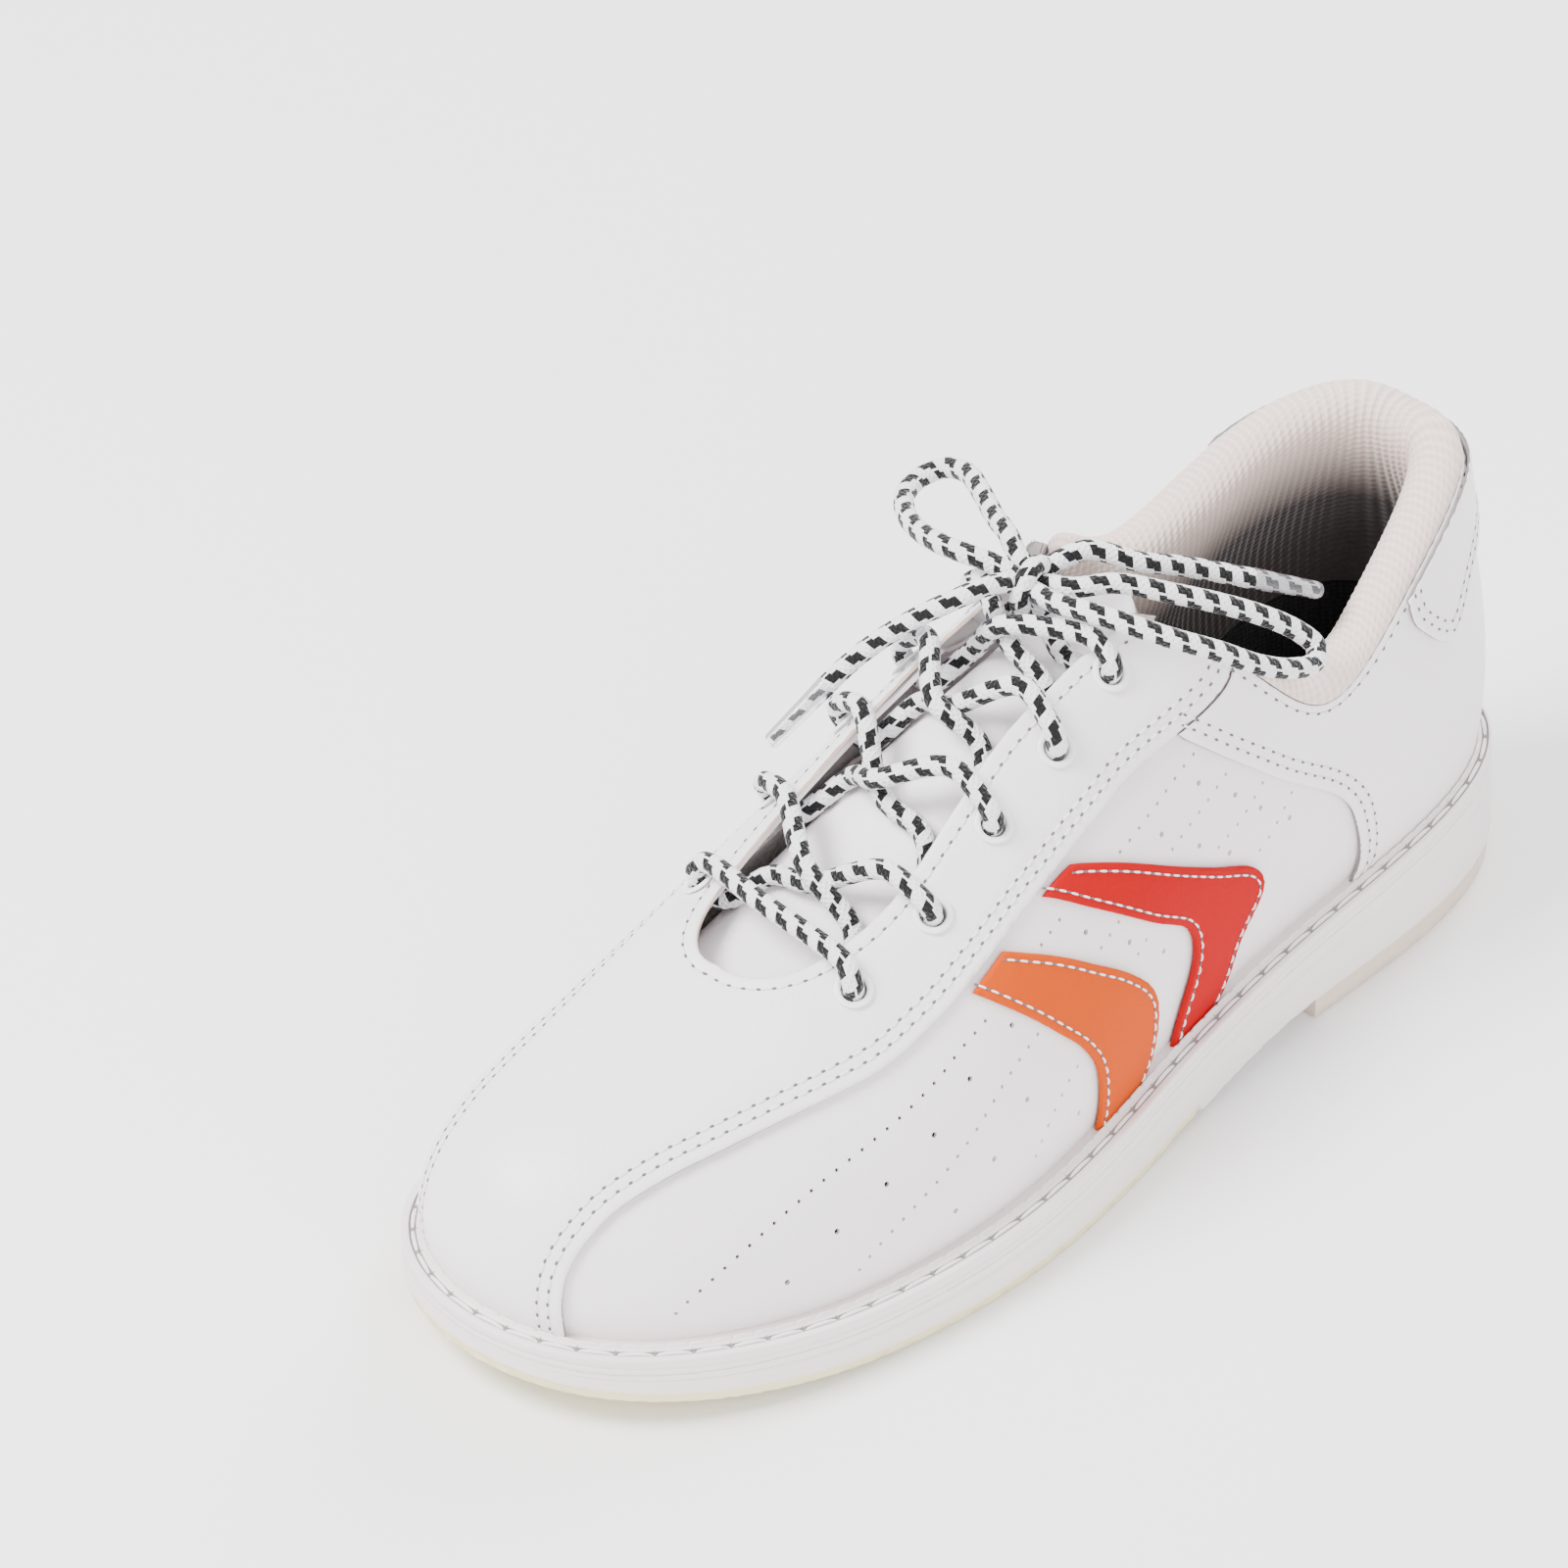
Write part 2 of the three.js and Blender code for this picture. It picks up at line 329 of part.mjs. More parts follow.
// ---- outlines of the upper pieces, outer side, as (station, height)
const line = (a, b) => [a, b];
const VAMP_EDGE = smooth([[9.18,.012],[9.18,.209],[9.13,.336],[9.00,.445],[8.78,.531],[8.40,.583],[7.93,.593],[7.46,.583],[7.00,.561],[6.69,.547],[6.36,.546],[5.97,.543],[5.55,.536],[5.13,.542],[4.78,.582],[4.48,.655],[4.19,.740],[3.97,.834],[3.84,.921],[3.80,.992]]);
const THROAT = smooth([[4.36,.992],[4.62,.90],[4.93,.82],[5.41,.785],[5.89,.79],[6.31,.80],[6.61,.815],[6.86,.835],[7.05,.865],[7.20,.905],[7.30,.95],[7.35,1]]);
const T0 = 0.006;
const holesOut = (r, k = 5) => EYELETS.slice(0, k).map(c => circle(c, r)), holesIn = (r, k = 5) => EYELETS_IN.slice(0, k).map(c => circle([N - c[0], c[1]], r).map(p => [N - p[0], p[1]]));
// vamp with both eyestays, one piece
{
  const segs = [line([10, T0], [9.18, T0]), VAMP_EDGE, line([3.80, .992], [4.36, .992]), THROAT, line([7.35, 1], [10, 1]), line([10, 1], [10, T0])];
  // outer half and inner half carry their own eyelet positions, joined along the toe and the crest
  const h = 9.5, mo = mesh2d(chain(segs, SX, SY, h), holesOut(HOLE_R), h, SX, SY), mi = mesh2d(chain(segs, SX, SY, h), holesIn(HOLE_R), h, SX, SY);
  const key = new Map(), vt = [], vb = [], tris = [];
  const put = (u, t) => { if (t > 0.9999 && u > 10) u = N - u; const k = u.toFixed(4) + ',' + t.toFixed(4);
    if (!key.has(k)) { key.set(k, vt.length); const p = S(u, t), q = Nn(u, t); vt.push(p.clone().addScaledVector(q, TOP[1])); vb.push(p.clone().addScaledVector(q, TOP[0])); } return key.get(k); };
  for (const t of mo.tris) tris.push(t.map(i => put(...mo.pts[i])));
  for (const t of mi.tris) tris.push([t[0], t[2], t[1]].map(i => put(N - mi.pts[i][0], mi.pts[i][1])));
  add('vamp', shell(vt, vb, tris), LEATHER, 0.5);
}
const QUARTER = [line([2.45, T0], [9.45, T0]), line([9.45, T0], [9.45, .34]), smooth([[9.45,.34],[9.22,.50],[8.8,.62],[8.3,.69],[7.75,.71],[7.3,.76],[7.0,.80]]), smooth([[7.0,.80],[6.61,.79],[6.31,.775],[5.89,.765],[5.41,.765],[5.08,.80],[4.84,.805],[4.6,.76],[4.3,.78],[4.0,.87],[3.7,.985]]), line([3.7, .985], [2.45, .985]), line([2.45, .985], [2.45, T0])];
{
  const mk = (side, holes) => {
    const h = 10, m = mesh2d(chain(QUARTER, SX, SY, h), holes, h, SX, SY), f = u => side < 0 ? N - u : u;
    return shell(m.pts.map(p => off(f(p[0]), p[1], MID[1])), m.pts.map(p => off(f(p[0]), p[1], MID[0])), m.tris);
  };
  add('quarter_lateral', mk(1, holesOut(HOLE_R + 0.3, 4)), LEATHER, 0.5);
  add('quarter_medial', mk(-1, holesIn(HOLE_R + 0.3, 4)), LEATHER, 0.5);
}
const BACKQ_EDGE = smooth([[3.78,.992],[3.80,.90],[3.92,.78],[3.86,.742],[3.44,.726],[3.10,.68],[2.87,.60],[2.66,.444],[2.56,.234],[2.54,.066],[2.60,T0]]);
add('back_quarter_lateral', panel([BACKQ_EDGE, line([2.60, T0], [0.012, T0]), line([0.012, T0], [0.012, .992]), line([0.012, .992], [3.78, .992])], TOP, { h: 10 }), LEATHER, 0.5);
add('back_quarter_medial', panel([BACKQ_EDGE, line([2.60, T0], [0.012, T0]), line([0.012, T0], [0.012, .992]), line([0.012, .992], [3.78, .992])], TOP, { h: 10, side: -1 }), LEATHER, 0.5);
// heel tab over the back seam
{
  const e = smooth([[2.02,.99],[2.01,.904],[1.93,.818],[1.79,.706],[1.63,.638],[1.52,.655],[1.25,.72],[0.6,.78],[0,.79],[-0.6,.78],[-1.25,.72],[-1.52,.655],[-1.63,.638],[-1.79,.706],[-1.93,.818],[-2.01,.904],[-2.02,.99]], 4);
  add('heel_tab', panel([e, line([-2.02, .99], [2.02, .99])], TAB, { h: 8 }), LEATHER, 0.5);
}
const RED_C = [smooth([[5.02,.528],[4.79,.505],[4.33,.474],[3.84,.443],[3.49,.410],[3.38,.352],[3.38,.290],[3.54,.168],[3.63,.053],[3.70,T0]]), line([3.70, T0], [4.14, T0]), smooth([[4.14,T0],[4.10,.077],[3.99,.201],[4.00,.270],[4.08,.315],[4.45,.368],[4.95,.446],[5.28,.520]]), line([5.28, .520], [5.02, .528])];
const ORANGE_C = [smooth([[5.66,.518],[5.46,.462],[5.03,.361],[4.68,.294],[4.47,.240],[4.38,.186],[4.39,.060],[4.46,T0]]), line([4.46, T0], [5.00, T0]), smooth([[5.00,T0],[5.00,.068],[5.05,.167],[5.16,.224],[5.41,.310],[5.72,.425],[5.95,.520]]), line([5.95, .520], [5.66, .518])];
for (const [s, nm] of [[1, 'lateral'], [-1, 'medial']]) {
  add('chevron_red_' + nm, panel(RED_C, TOP, { h: 7, side: s }), RED, 0.45);
  add('chevron_orange_' + nm, panel(ORANGE_C, TOP, { h: 7, side: s }), ORANGE, 0.45);
}
// stiffeners
add('toe_puff', panel([line([8.6, .02], [11.4, .02]), smooth([[11.4,.02],[11.35,.30],[11.0,.48],[10.5,.56],[10,.58],[9.5,.56],[9.0,.48],[8.65,.30],[8.6,.02]])], [-3.35, -2.65], { h: 7.5 }), 0xb9a58a, 0.8);
add('heel_counter', panel([line([-3.1, .02], [3.1, .02]), smooth([[3.1,.02],[2.9,.22],[2.3,.36],[1.2,.42],[0,.43],[-1.2,.42],[-2.3,.36],[-2.9,.22],[-3.1,.02]])], STIFF, { h: 10 }), 0xb9a58a, 0.8);
// linings
add('vamp_lining', panel([line([5.62, .02], [10, .02]), line([10, .02], [10, 1]), line([10, 1], [7.62, 1]), smooth([[7.62,1],[7.50,.92],[7.30,.82],[7.05,.73],[6.7,.655],[6.2,.60],[5.62,.56]]), line([5.62, .56], [5.62, .02])], LIN, { h: 9.5, mirror: true }), 0xd8cfc9, 0.9);
const QL_TOP = smooth([[5.58,.55],[5.1,.56],[4.75,.56],[4.4,.50],[4.05,.40],[3.5,.31],[2.6,.31],[1.5,.38],[0,.41],[-1.5,.41],[-2.6,.355],[-3.5,.345],[-4.05,.40],[-4.4,.50],[-4.75,.56],[-5.1,.56],[-5.58,.55]], 4);
add('quarter_lining', panel([QL_TOP, line([-5.58, .55], [-5.58, .02]), line([-5.58, .02], [5.58, .02]), line([5.58, .02], [5.58, .55])], LIN, { h: 10 }), 0x5b5552, 0.95);
// padded collar: foam core and the mesh cover around it
const colU = Array.from({ length: 27 }, (_, i) => -3.8 + 7.6 * i / 26);
const taper = u => { const a = Math.abs(u); return a > 3.2 ? 1 - 0.35 * (a - 3.2) / 0.6 : 1; };
const depth = u => 34 - 11 * Math.min(1, Math.max(0, (Math.abs(u) - 2.0) / 1.2));
add('collar_foam', sweepU(u => { const k = taper(u), D = depth(u); return [[2.3, -D], [2.2, 0.4], [2.8, 2.0 * k], [4.4 * k, 3.3 * k], [6.4 * k, 3.3 * k], [8.0 * k, 2.2 * k], [8.7 * k, 0], [8.1 * k, -12], [6.0 * k, -D * .7], [3.7, -D + 1.5]]; }, colU), 0xe7dcc4, 0.95);
add('collar_lining', sweepU(u => { const k = taper(u), D = depth(u); return [[0.3, 0.8], [0.8, 2.9 * k], [3.6 * k, 4.9 * k], [6.8 * k, 4.9 * k], [9.4 * k, 3.3 * k], [10.5 * k, 0.2], [10.1 * k, -12.2], [8.1 * k, -D * .7 - .4], [5.6, -D - 1], [5.3, -D - 4], [4.4, -D - 4], [4.6, -D - .3], [4.9, -D + .7], [7.1 * k, -D * .7], [9.1 * k, -12.1], [9.5 * k, 0.1], [8.6 * k, 2.7 * k], [6.5 * k, 3.95 * k], [4.2 * k, 3.95 * k], [2.3, 2.6 * k], [1.5, 0.8]]; }, colU), MESH, 0.9);

// tongue: face, foam and lining, from under the vamp to just above the collar
const crossMid = u => Sraw(u, 1).add(Sraw(N - u, 1)).multiplyScalar(0.5);
const TONGUE_DEPTH = 8.5;     // below the reference surface, so that the lace clears it
function tongueSection(u, tw, half, up, fwd) {   // line across the shoe below the eyestays, from the outer to the inner side
  const pts = [];
  for (let k = 0; k <= 8; k++) { const t = tw + (1 - tw) * k / 8; pts.push(Sraw(u, t).addScaledVector(Snorm(u, Math.min(t, .985)), -TONGUE_DEPTH)); }
  for (let k = 8; k >= 0; k--) { const t = tw + (1 - tw) * k / 8; pts.push(Sraw(N - u, t).addScaledVector(Snorm(N - u, Math.min(t, .985)), -TONGUE_DEPTH)); }
  const mid = crossMid(u); const c = new THREE.CatmullRomCurve3(pts.filter((p, i) => i < 7 || i > 10), false, 'centripetal');
  const L = c.getLength(), out = []; c.arcLengthDivisions = 400;
  let s0 = 0.5; for (let q = 0.2, b = 1e9; q < 0.8; q += 0.004) { const d = Math.abs(c.getPointAt(q).x - mid.x); if (d < b) { b = d; s0 = q; } }
  for (let j = 0; j <= 8; j++) { const a = -1 + 2 * j / 8, p = c.getPointAt(Math.min(0.999, Math.max(0.001, s0 + a * half / L))); p.y += fwd * (1 - 0.35 * a * a); p.z += up - 0.35 * up * a * a; out.push(p); }
  return out;
}
// rows from under the vamp to the free top end: station, side limit, half width, lift, travel beyond the last station
const TROWS = [[7.95,.60,24,0,-8],[7.75,.60,25.5,0,0],[7.35,.60,27,0.3,0],[6.95,.58,27.5,0.6,0],[6.5,.56,28,0.8,0],[6.0,.55,28,0.8,0],[5.5,.55,27.5,0.6,0],[5.1,.56,27,0.3,0],[4.8,.58,25.5,0,0],[4.58,.60,23,0.6,2],[4.47,.60,20.5,2.2,7],[4.42,.60,16.5,4.4,12],[4.40,.60,11,6.4,16]];
const TSEC = TROWS.map(r => tongueSection(...r));
function tongueSheet(z0, z1, r0, r1, j0, j1) {
  const top = [], bot = [], tris = [], rows = r1 - r0, cols = j1 - j0, rowsN = TSEC.length;
  for (let i = r0; i <= r1; i++) {
    for (let j = j0; j <= j1; j++) {
      const p = TSEC[i][j], a = TSEC[Math.max(0, i - 1)][j], b = TSEC[Math.min(rowsN - 1, i + 1)][j], c = TSEC[i][Math.max(0, j - 1)], d = TSEC[i][Math.min(8, j + 1)];
      const n = b.clone().sub(a).cross(d.clone().sub(c)).normalize(); if (n.z < 0) n.negate();
      const e = Math.abs(j - 4) / 4, ei = i > rowsN - 3 ? 0.75 : i < 2 ? 0.7 : 1, k = (1 - 0.45 * e ** 3) * ei;
      top.push(p.clone().addScaledVector(n, z1 * k)); bot.push(p.clone().addScaledVector(n, z0 * k));
    }
  }
  for (let i = 0; i < rows; i++) for (let j = 0; j < cols; j++) { const a = i * (cols + 1) + j, b = a + 1, d = a + cols + 1, c = d + 1; tris.push([a, b, c], [a, c, d]); }
  return shell(top, bot, tris);
}
add('tongue_face', tongueSheet(-1.3, 0, 0, 12, 0, 8), LEATHER, 0.5);
add('tongue_foam', tongueSheet(-5.4, -2.1, 1, 9, 1, 7), 0xe7dcc4, 0.95);
add('tongue_lining', tongueSheet(-8.5, -7.5, 0, 12, 0, 8), MESH, 0.9);

// eyelets
const eyeletProfile = [[BORE_R, -2.5], [BORE_R, 2.1], [BORE_R + 0.5, 2.4], [FLANGE_R, 2.25], [FLANGE_R, 1.85], [BARREL_R, 1.85], [BARREL_R, -2.0], [FLANGE_R - 0.5, -2.0], [FLANGE_R - 0.5, -2.5]].map(p => new THREE.Vector2(...p));
eyeletProfile.push(eyeletProfile[0].clone()); eyeletProfile.reverse();
const eyeAt = (i, side) => { const c = side > 0 ? EYELETS[i] : [N - EYELETS_IN[i][0], EYELETS_IN[i][1]]; return { p: S(...c), n: Nn(...c) }; };
for (const [s, nm] of [[1, 'lateral'], [-1, 'medial']]) for (let i = 0; i < 5; i++) {
  const g = new THREE.LatheGeometry(eyeletProfile, 10); g.rotateX(Math.PI / 2);
  const e = eyeAt(i, s), q = new THREE.Quaternion().setFromUnitVectors(V(0, 0, 1), e.n);
  g.applyQuaternion(q); g.translate(e.p.x, e.p.y, e.p.z);
  add(`eyelet_${nm}_${i + 1}`, g, 0xf6f4f4, 0.35);
}

// ---------------------------------------------------------------- lace
function tube(pts, r, n, steps, closedEnd = false) {
  const c = new THREE.CatmullRomCurve3(pts, closedEnd, 'centripetal');
  c.arcLengthDivisions = 400;
  const sh = new THREE.Shape(Array.from({ length: n }, (_, i) => new THREE.Vector2(r * Math.cos(2 * Math.PI * i / n), r * Math.sin(2 * Math.PI * i / n))));
  return new THREE.ExtrudeGeometry(sh, { steps, extrudePath: c, bevelEnabled: false, curveSegments: 1 });
}
const LACING = [];
{
  const R = LACE_D / 2 - 0.05, UNDER = -2.5 - 2.4 * GAP - R, OVER = 2.4 + 2.2 * GAP + R;
  const eyeUT = (i, s) => s > 0 ? EYELETS[i] : EYELETS_IN[i], side0 = (s, u) => s > 0 ? u : N - u;
  // a point on the way from eyelet (i, s) to eyelet (j, -s): q runs 0..1, w is the height over the upper
  const way = (i, s, j, q, w) => {
    const A = eyeUT(i, s), B = eyeUT(j, -s), u = A[0] + (B[0] - A[0]) * q;
    if (Math.abs(q - 0.5) < 0.02) { const yc = (S(side0(s, A[0]), A[1]).y + S(side0(-s, B[0]), B[1]).y) / 2; let u = 7.5; while (u > 4.3 && crossMid(u).y < yc) u -= 0.01; const m = crossMid(u), a = Sraw(u - 0.15, 0.9999).add(Sraw(N - u + 0.15, 0.9999)).multiplyScalar(0.5), b = Sraw(u + 0.15, 0.9999).add(Sraw(N - u - 0.15, 0.9999)).multiplyScalar(0.5), g = a.sub(b).normalize(); return m.addScaledVector(V(0, -g.z, g.y), w); }
    const near = q < 0.5, t = near ? A[1] + (1 - A[1]) * 2 * q : B[1] + (1 - B[1]) * 2 * (1 - q), side = near ? s : -s;
    const uu = side > 0 ? u : N - u; return Sraw(uu, t).addScaledVector(Snorm(uu, Math.min(t, .985)), w);
  };
  const eye = (i, s) => eyeAt(i, s);
  // down through an eyelet: d is the direction towards the throat at each face
  const toward = (i, s, j, q) => { const e = eye(i, s), p = way(i, s, j, q, 0).sub(e.p); return p.addScaledVector(e.n, -p.dot(e.n)).normalize(); };
  const into = (i, s, d) => { const e = eye(i, s), f = (k, w) => e.p.clone().addScaledVector(d, k).addScaledVector(e.n, w); return [f(5.2, OVER + 0.1), f(2.9, OVER), f(0.9, OVER - 1.3), f(0.1, OVER - 3.1)]; };
  const outof = (i, s, d) => { const e = eye(i, s), f = (k, w) => e.p.clone().addScaledVector(d, k).addScaledVector(e.n, w); return [f(0.0, UNDER + 2.8), f(0.6, UNDER + 1.1), f(2.7, UNDER), f(5.4, UNDER - 0.1)]; };
  const run = (i, s, lift) => {       // from below eyelet i on side s to above eyelet i + 1 on the other side
    const j = i + 1, d = toward(i, s, j, 0.15), d2 = toward(j, -s, i, 0.15);
    const r = [...outof(i, s, d), way(i, s, j, 0.24, UNDER + 0.5)];
    r.push(way(i, s, j, 0.5, lift));
    r.push(way(i, s, j, 0.77, OVER - 0.2), ...into(j, -s, d2));
    return r;
  };
  const A = [], B = [];
  for (let i = 0, s = 1; i < 4; i++, s = -s) { A.push(...run(i, s, 2.7)); B.push(...run(i, -s, -2.7)); }
  const top = (s, x, y, z) => { const e = eye(4, s), d = V(-7 - e.p.x, -3, 0); d.addScaledVector(e.n, -d.dot(e.n)).normalize(); return [...outof(4, s, d), V((e.p.x + 2 * x) / 3, (e.p.y + 2 * y) / 3 - 1.5, z - 4.8), V(x, y, z)]; };
  A.push(...top(1, -5.2, 29.4, 107.0)); B.push(...top(-1, -11.6, 29.4, 107.0));
  const e0 = eye(0, 1), f0 = eye(0, -1), dE = toward(0, 1, 0, 0.2), dF = toward(0, -1, 0, 0.2);
  const bar = [...into(0, -1, dF).reverse(), way(0, -1, 0, 0.5, 5.3), ...into(0, 1, dE)];
  LACING.push(...B.slice().reverse(), ...bar, ...A);
  add('lace_lacing', tube(LACING, R, 8, 132), 0xf4f2f2, 0.8);
}
const KNOT = V(-8.6, 28.6, 114.2);
{
  const g = new THREE.SphereGeometry(1, 14, 10); g.scale(7.2, 5.6, 5.0); g.translate(KNOT.x, KNOT.y, KNOT.z);
  add('lace_knot', g, 0xf4f2f2, 0.8);
}
const P = a => a.map(p => V(...p));
const LOOP_1 = [[-16.2,32.4,116.8],[-20.5,34.6,117.8],[-27,37.6,117],[-36,42.5,116.6],[-44.5,46.6,115.4],[-50.6,46.2,113.8],[-53.4,41.2,112.4],[-51.4,34.6,112.4],[-45,28.8,113.4],[-37,25.2,114.8],[-28,23.6,116.6],[-21.4,24.6,117.0],[-17.0,26.4,116.2]];
const LOOP_2 = [[0.4,33.2,115.0],[6.0,40.2,115.2],[14.5,49,112],[20.4,57,108],[25.2,64.8,103],[29.2,71.2,97.6],[32.4,73.8,93.6],[35.2,70.6,92.6],[35.6,63.4,95],[33.4,55.2,99.4],[29.6,46.4,106],[23.8,38.2,111],[15.6,31.0,115.2],[8,27.4,116.2],[1.6,26.2,115.4]];
const TAIL_1 = [[-9.6,22.2,117.2],[-10.8,17,118.2],[-12.8,11.2,117.4],[-17,5.4,114.4],[-22,0.6,109.6],[-26.6,-5.2,104.0],[-29.6,-11,98.6]];
const TAIL_2 = [[-7.4,36.0,116.4],[-4.6,42.8,117.2],[2.6,50.4,113.6],[6.4,58.6,110],[10.2,66.4,106],[13.6,73.4,102.2]];
const AGLET_1 = [[-29.85,-11.5,98.1],[-34.6,-24.6,87.2]], AGLET_2 = [[13.95,74.15,101.8],[20.6,88.2,94.2]];
add('lace_loop_medial', tube(P(LOOP_1), LACE_D / 2 - 0.05, 8, 22), 0xf4f2f2, 0.8);
add('lace_loop_lateral', tube(P(LOOP_2), LACE_D / 2 - 0.05, 8, 26), 0xf4f2f2, 0.8);
add('lace_tail_medial', tube(P(TAIL_1), LACE_D / 2 - 0.05, 8, 10), 0xf4f2f2, 0.8);
add('lace_tail_lateral', tube(P(TAIL_2), LACE_D / 2 - 0.05, 8, 10), 0xf4f2f2, 0.8);
for (const [nm, [a, b]] of [['aglet_medial', AGLET_1], ['aglet_lateral', AGLET_2]]) {
  const A = V(...a), B = V(...b), L = A.distanceTo(B), g = new THREE.CylinderGeometry(1.9, 2.3, L, 12);
  g.applyQuaternion(new THREE.Quaternion().setFromUnitVectors(V(0, 1, 0), B.clone().sub(A).normalize()));
  g.translate((A.x + B.x) / 2, (A.y + B.y) / 2, (A.z + B.z) / 2);
  add(nm, g, 0xe9eaec, 0.25);
}

// origin at the middle of the footprint: measured on the shoe without its lace
const CORD = new Set(['lace_lacing', 'lace_knot', 'lace_loop_medial', 'lace_loop_lateral', 'lace_tail_medial', 'lace_tail_lateral', 'aglet_medial', 'aglet_lateral']);
const box = new THREE.Box3();
for (const m of shoe.children) if (!CORD.has(m.name)) { m.geometry.computeBoundingBox(); box.union(m.geometry.boundingBox); }
const SHIFT = V(-(box.min.x + box.max.x) / 2, -(box.min.y + box.max.y) / 2, -box.min.z);
for (const m of shoe.children) m.position.copy(SHIFT);
export default shoe;
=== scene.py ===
import bpy
import json
import math
import numpy as np
from mathutils import Vector, Matrix
from mathutils.geometry import delaunay_2d_cdt
from mathutils.kdtree import KDTree
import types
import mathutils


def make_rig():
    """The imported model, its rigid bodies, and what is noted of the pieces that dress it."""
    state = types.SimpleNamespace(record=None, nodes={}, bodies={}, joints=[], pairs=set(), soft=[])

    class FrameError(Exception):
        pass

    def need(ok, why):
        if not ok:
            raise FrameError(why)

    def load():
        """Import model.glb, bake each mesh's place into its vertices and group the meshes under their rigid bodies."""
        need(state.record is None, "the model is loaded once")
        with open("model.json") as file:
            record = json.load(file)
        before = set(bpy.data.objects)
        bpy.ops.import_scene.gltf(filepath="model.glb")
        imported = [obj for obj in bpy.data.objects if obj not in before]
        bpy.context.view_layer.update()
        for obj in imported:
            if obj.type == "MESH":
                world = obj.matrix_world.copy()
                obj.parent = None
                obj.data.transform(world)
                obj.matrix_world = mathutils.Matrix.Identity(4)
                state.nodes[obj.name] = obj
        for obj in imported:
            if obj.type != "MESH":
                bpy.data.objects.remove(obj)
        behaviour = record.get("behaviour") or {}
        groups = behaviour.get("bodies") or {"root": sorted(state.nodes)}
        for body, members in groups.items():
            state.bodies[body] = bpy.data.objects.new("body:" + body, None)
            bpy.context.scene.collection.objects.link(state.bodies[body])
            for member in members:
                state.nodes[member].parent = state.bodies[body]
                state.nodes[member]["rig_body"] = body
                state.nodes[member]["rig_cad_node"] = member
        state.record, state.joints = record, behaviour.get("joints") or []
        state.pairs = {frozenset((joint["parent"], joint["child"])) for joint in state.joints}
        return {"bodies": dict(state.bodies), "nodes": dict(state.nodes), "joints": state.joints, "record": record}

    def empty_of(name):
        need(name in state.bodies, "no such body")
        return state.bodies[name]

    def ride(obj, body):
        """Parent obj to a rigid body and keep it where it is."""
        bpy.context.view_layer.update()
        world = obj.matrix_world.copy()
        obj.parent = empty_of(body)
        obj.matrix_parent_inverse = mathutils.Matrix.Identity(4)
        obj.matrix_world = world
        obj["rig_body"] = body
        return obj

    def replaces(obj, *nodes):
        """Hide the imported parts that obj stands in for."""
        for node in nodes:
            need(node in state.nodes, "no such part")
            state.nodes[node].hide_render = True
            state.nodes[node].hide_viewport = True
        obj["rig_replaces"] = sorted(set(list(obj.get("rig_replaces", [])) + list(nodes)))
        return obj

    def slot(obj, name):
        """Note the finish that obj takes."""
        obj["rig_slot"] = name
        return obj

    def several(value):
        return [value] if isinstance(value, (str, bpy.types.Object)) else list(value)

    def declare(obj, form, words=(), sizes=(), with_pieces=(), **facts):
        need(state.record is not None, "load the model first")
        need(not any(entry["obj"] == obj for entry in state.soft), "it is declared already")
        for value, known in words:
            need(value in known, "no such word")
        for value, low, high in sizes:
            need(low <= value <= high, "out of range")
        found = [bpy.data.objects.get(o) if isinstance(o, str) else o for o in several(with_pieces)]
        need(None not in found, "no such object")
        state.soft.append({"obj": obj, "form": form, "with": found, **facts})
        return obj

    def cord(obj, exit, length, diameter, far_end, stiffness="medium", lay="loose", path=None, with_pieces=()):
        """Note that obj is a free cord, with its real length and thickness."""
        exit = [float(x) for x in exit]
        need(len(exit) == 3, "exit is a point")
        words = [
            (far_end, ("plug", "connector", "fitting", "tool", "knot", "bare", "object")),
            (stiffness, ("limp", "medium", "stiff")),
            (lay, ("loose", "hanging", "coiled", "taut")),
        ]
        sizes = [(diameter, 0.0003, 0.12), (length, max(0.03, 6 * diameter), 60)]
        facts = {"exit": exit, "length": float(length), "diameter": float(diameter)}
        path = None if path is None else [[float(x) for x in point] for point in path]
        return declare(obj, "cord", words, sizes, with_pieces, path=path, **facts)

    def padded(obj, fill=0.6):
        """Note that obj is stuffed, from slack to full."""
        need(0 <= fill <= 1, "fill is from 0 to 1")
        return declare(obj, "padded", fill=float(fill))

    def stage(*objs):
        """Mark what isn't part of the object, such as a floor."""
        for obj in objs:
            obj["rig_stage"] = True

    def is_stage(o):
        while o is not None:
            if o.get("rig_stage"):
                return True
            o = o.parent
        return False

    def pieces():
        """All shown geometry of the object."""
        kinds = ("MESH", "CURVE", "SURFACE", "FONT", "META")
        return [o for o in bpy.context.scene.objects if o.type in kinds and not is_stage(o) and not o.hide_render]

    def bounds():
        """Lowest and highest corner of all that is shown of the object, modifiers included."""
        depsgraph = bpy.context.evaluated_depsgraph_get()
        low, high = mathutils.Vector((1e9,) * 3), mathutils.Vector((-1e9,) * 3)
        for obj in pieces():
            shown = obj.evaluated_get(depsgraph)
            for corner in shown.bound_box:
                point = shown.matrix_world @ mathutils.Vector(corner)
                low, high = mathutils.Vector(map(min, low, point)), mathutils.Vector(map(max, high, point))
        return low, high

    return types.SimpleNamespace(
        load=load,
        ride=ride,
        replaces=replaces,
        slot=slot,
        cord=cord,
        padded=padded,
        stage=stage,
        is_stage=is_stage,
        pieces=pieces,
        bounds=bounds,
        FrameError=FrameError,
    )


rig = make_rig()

# Looks of a lace-up bowling shoe. Lengths below are millimetres in the design frame; M() takes them to metres in the frame.
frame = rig.load()
BOX0 = [list(v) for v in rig.bounds()]
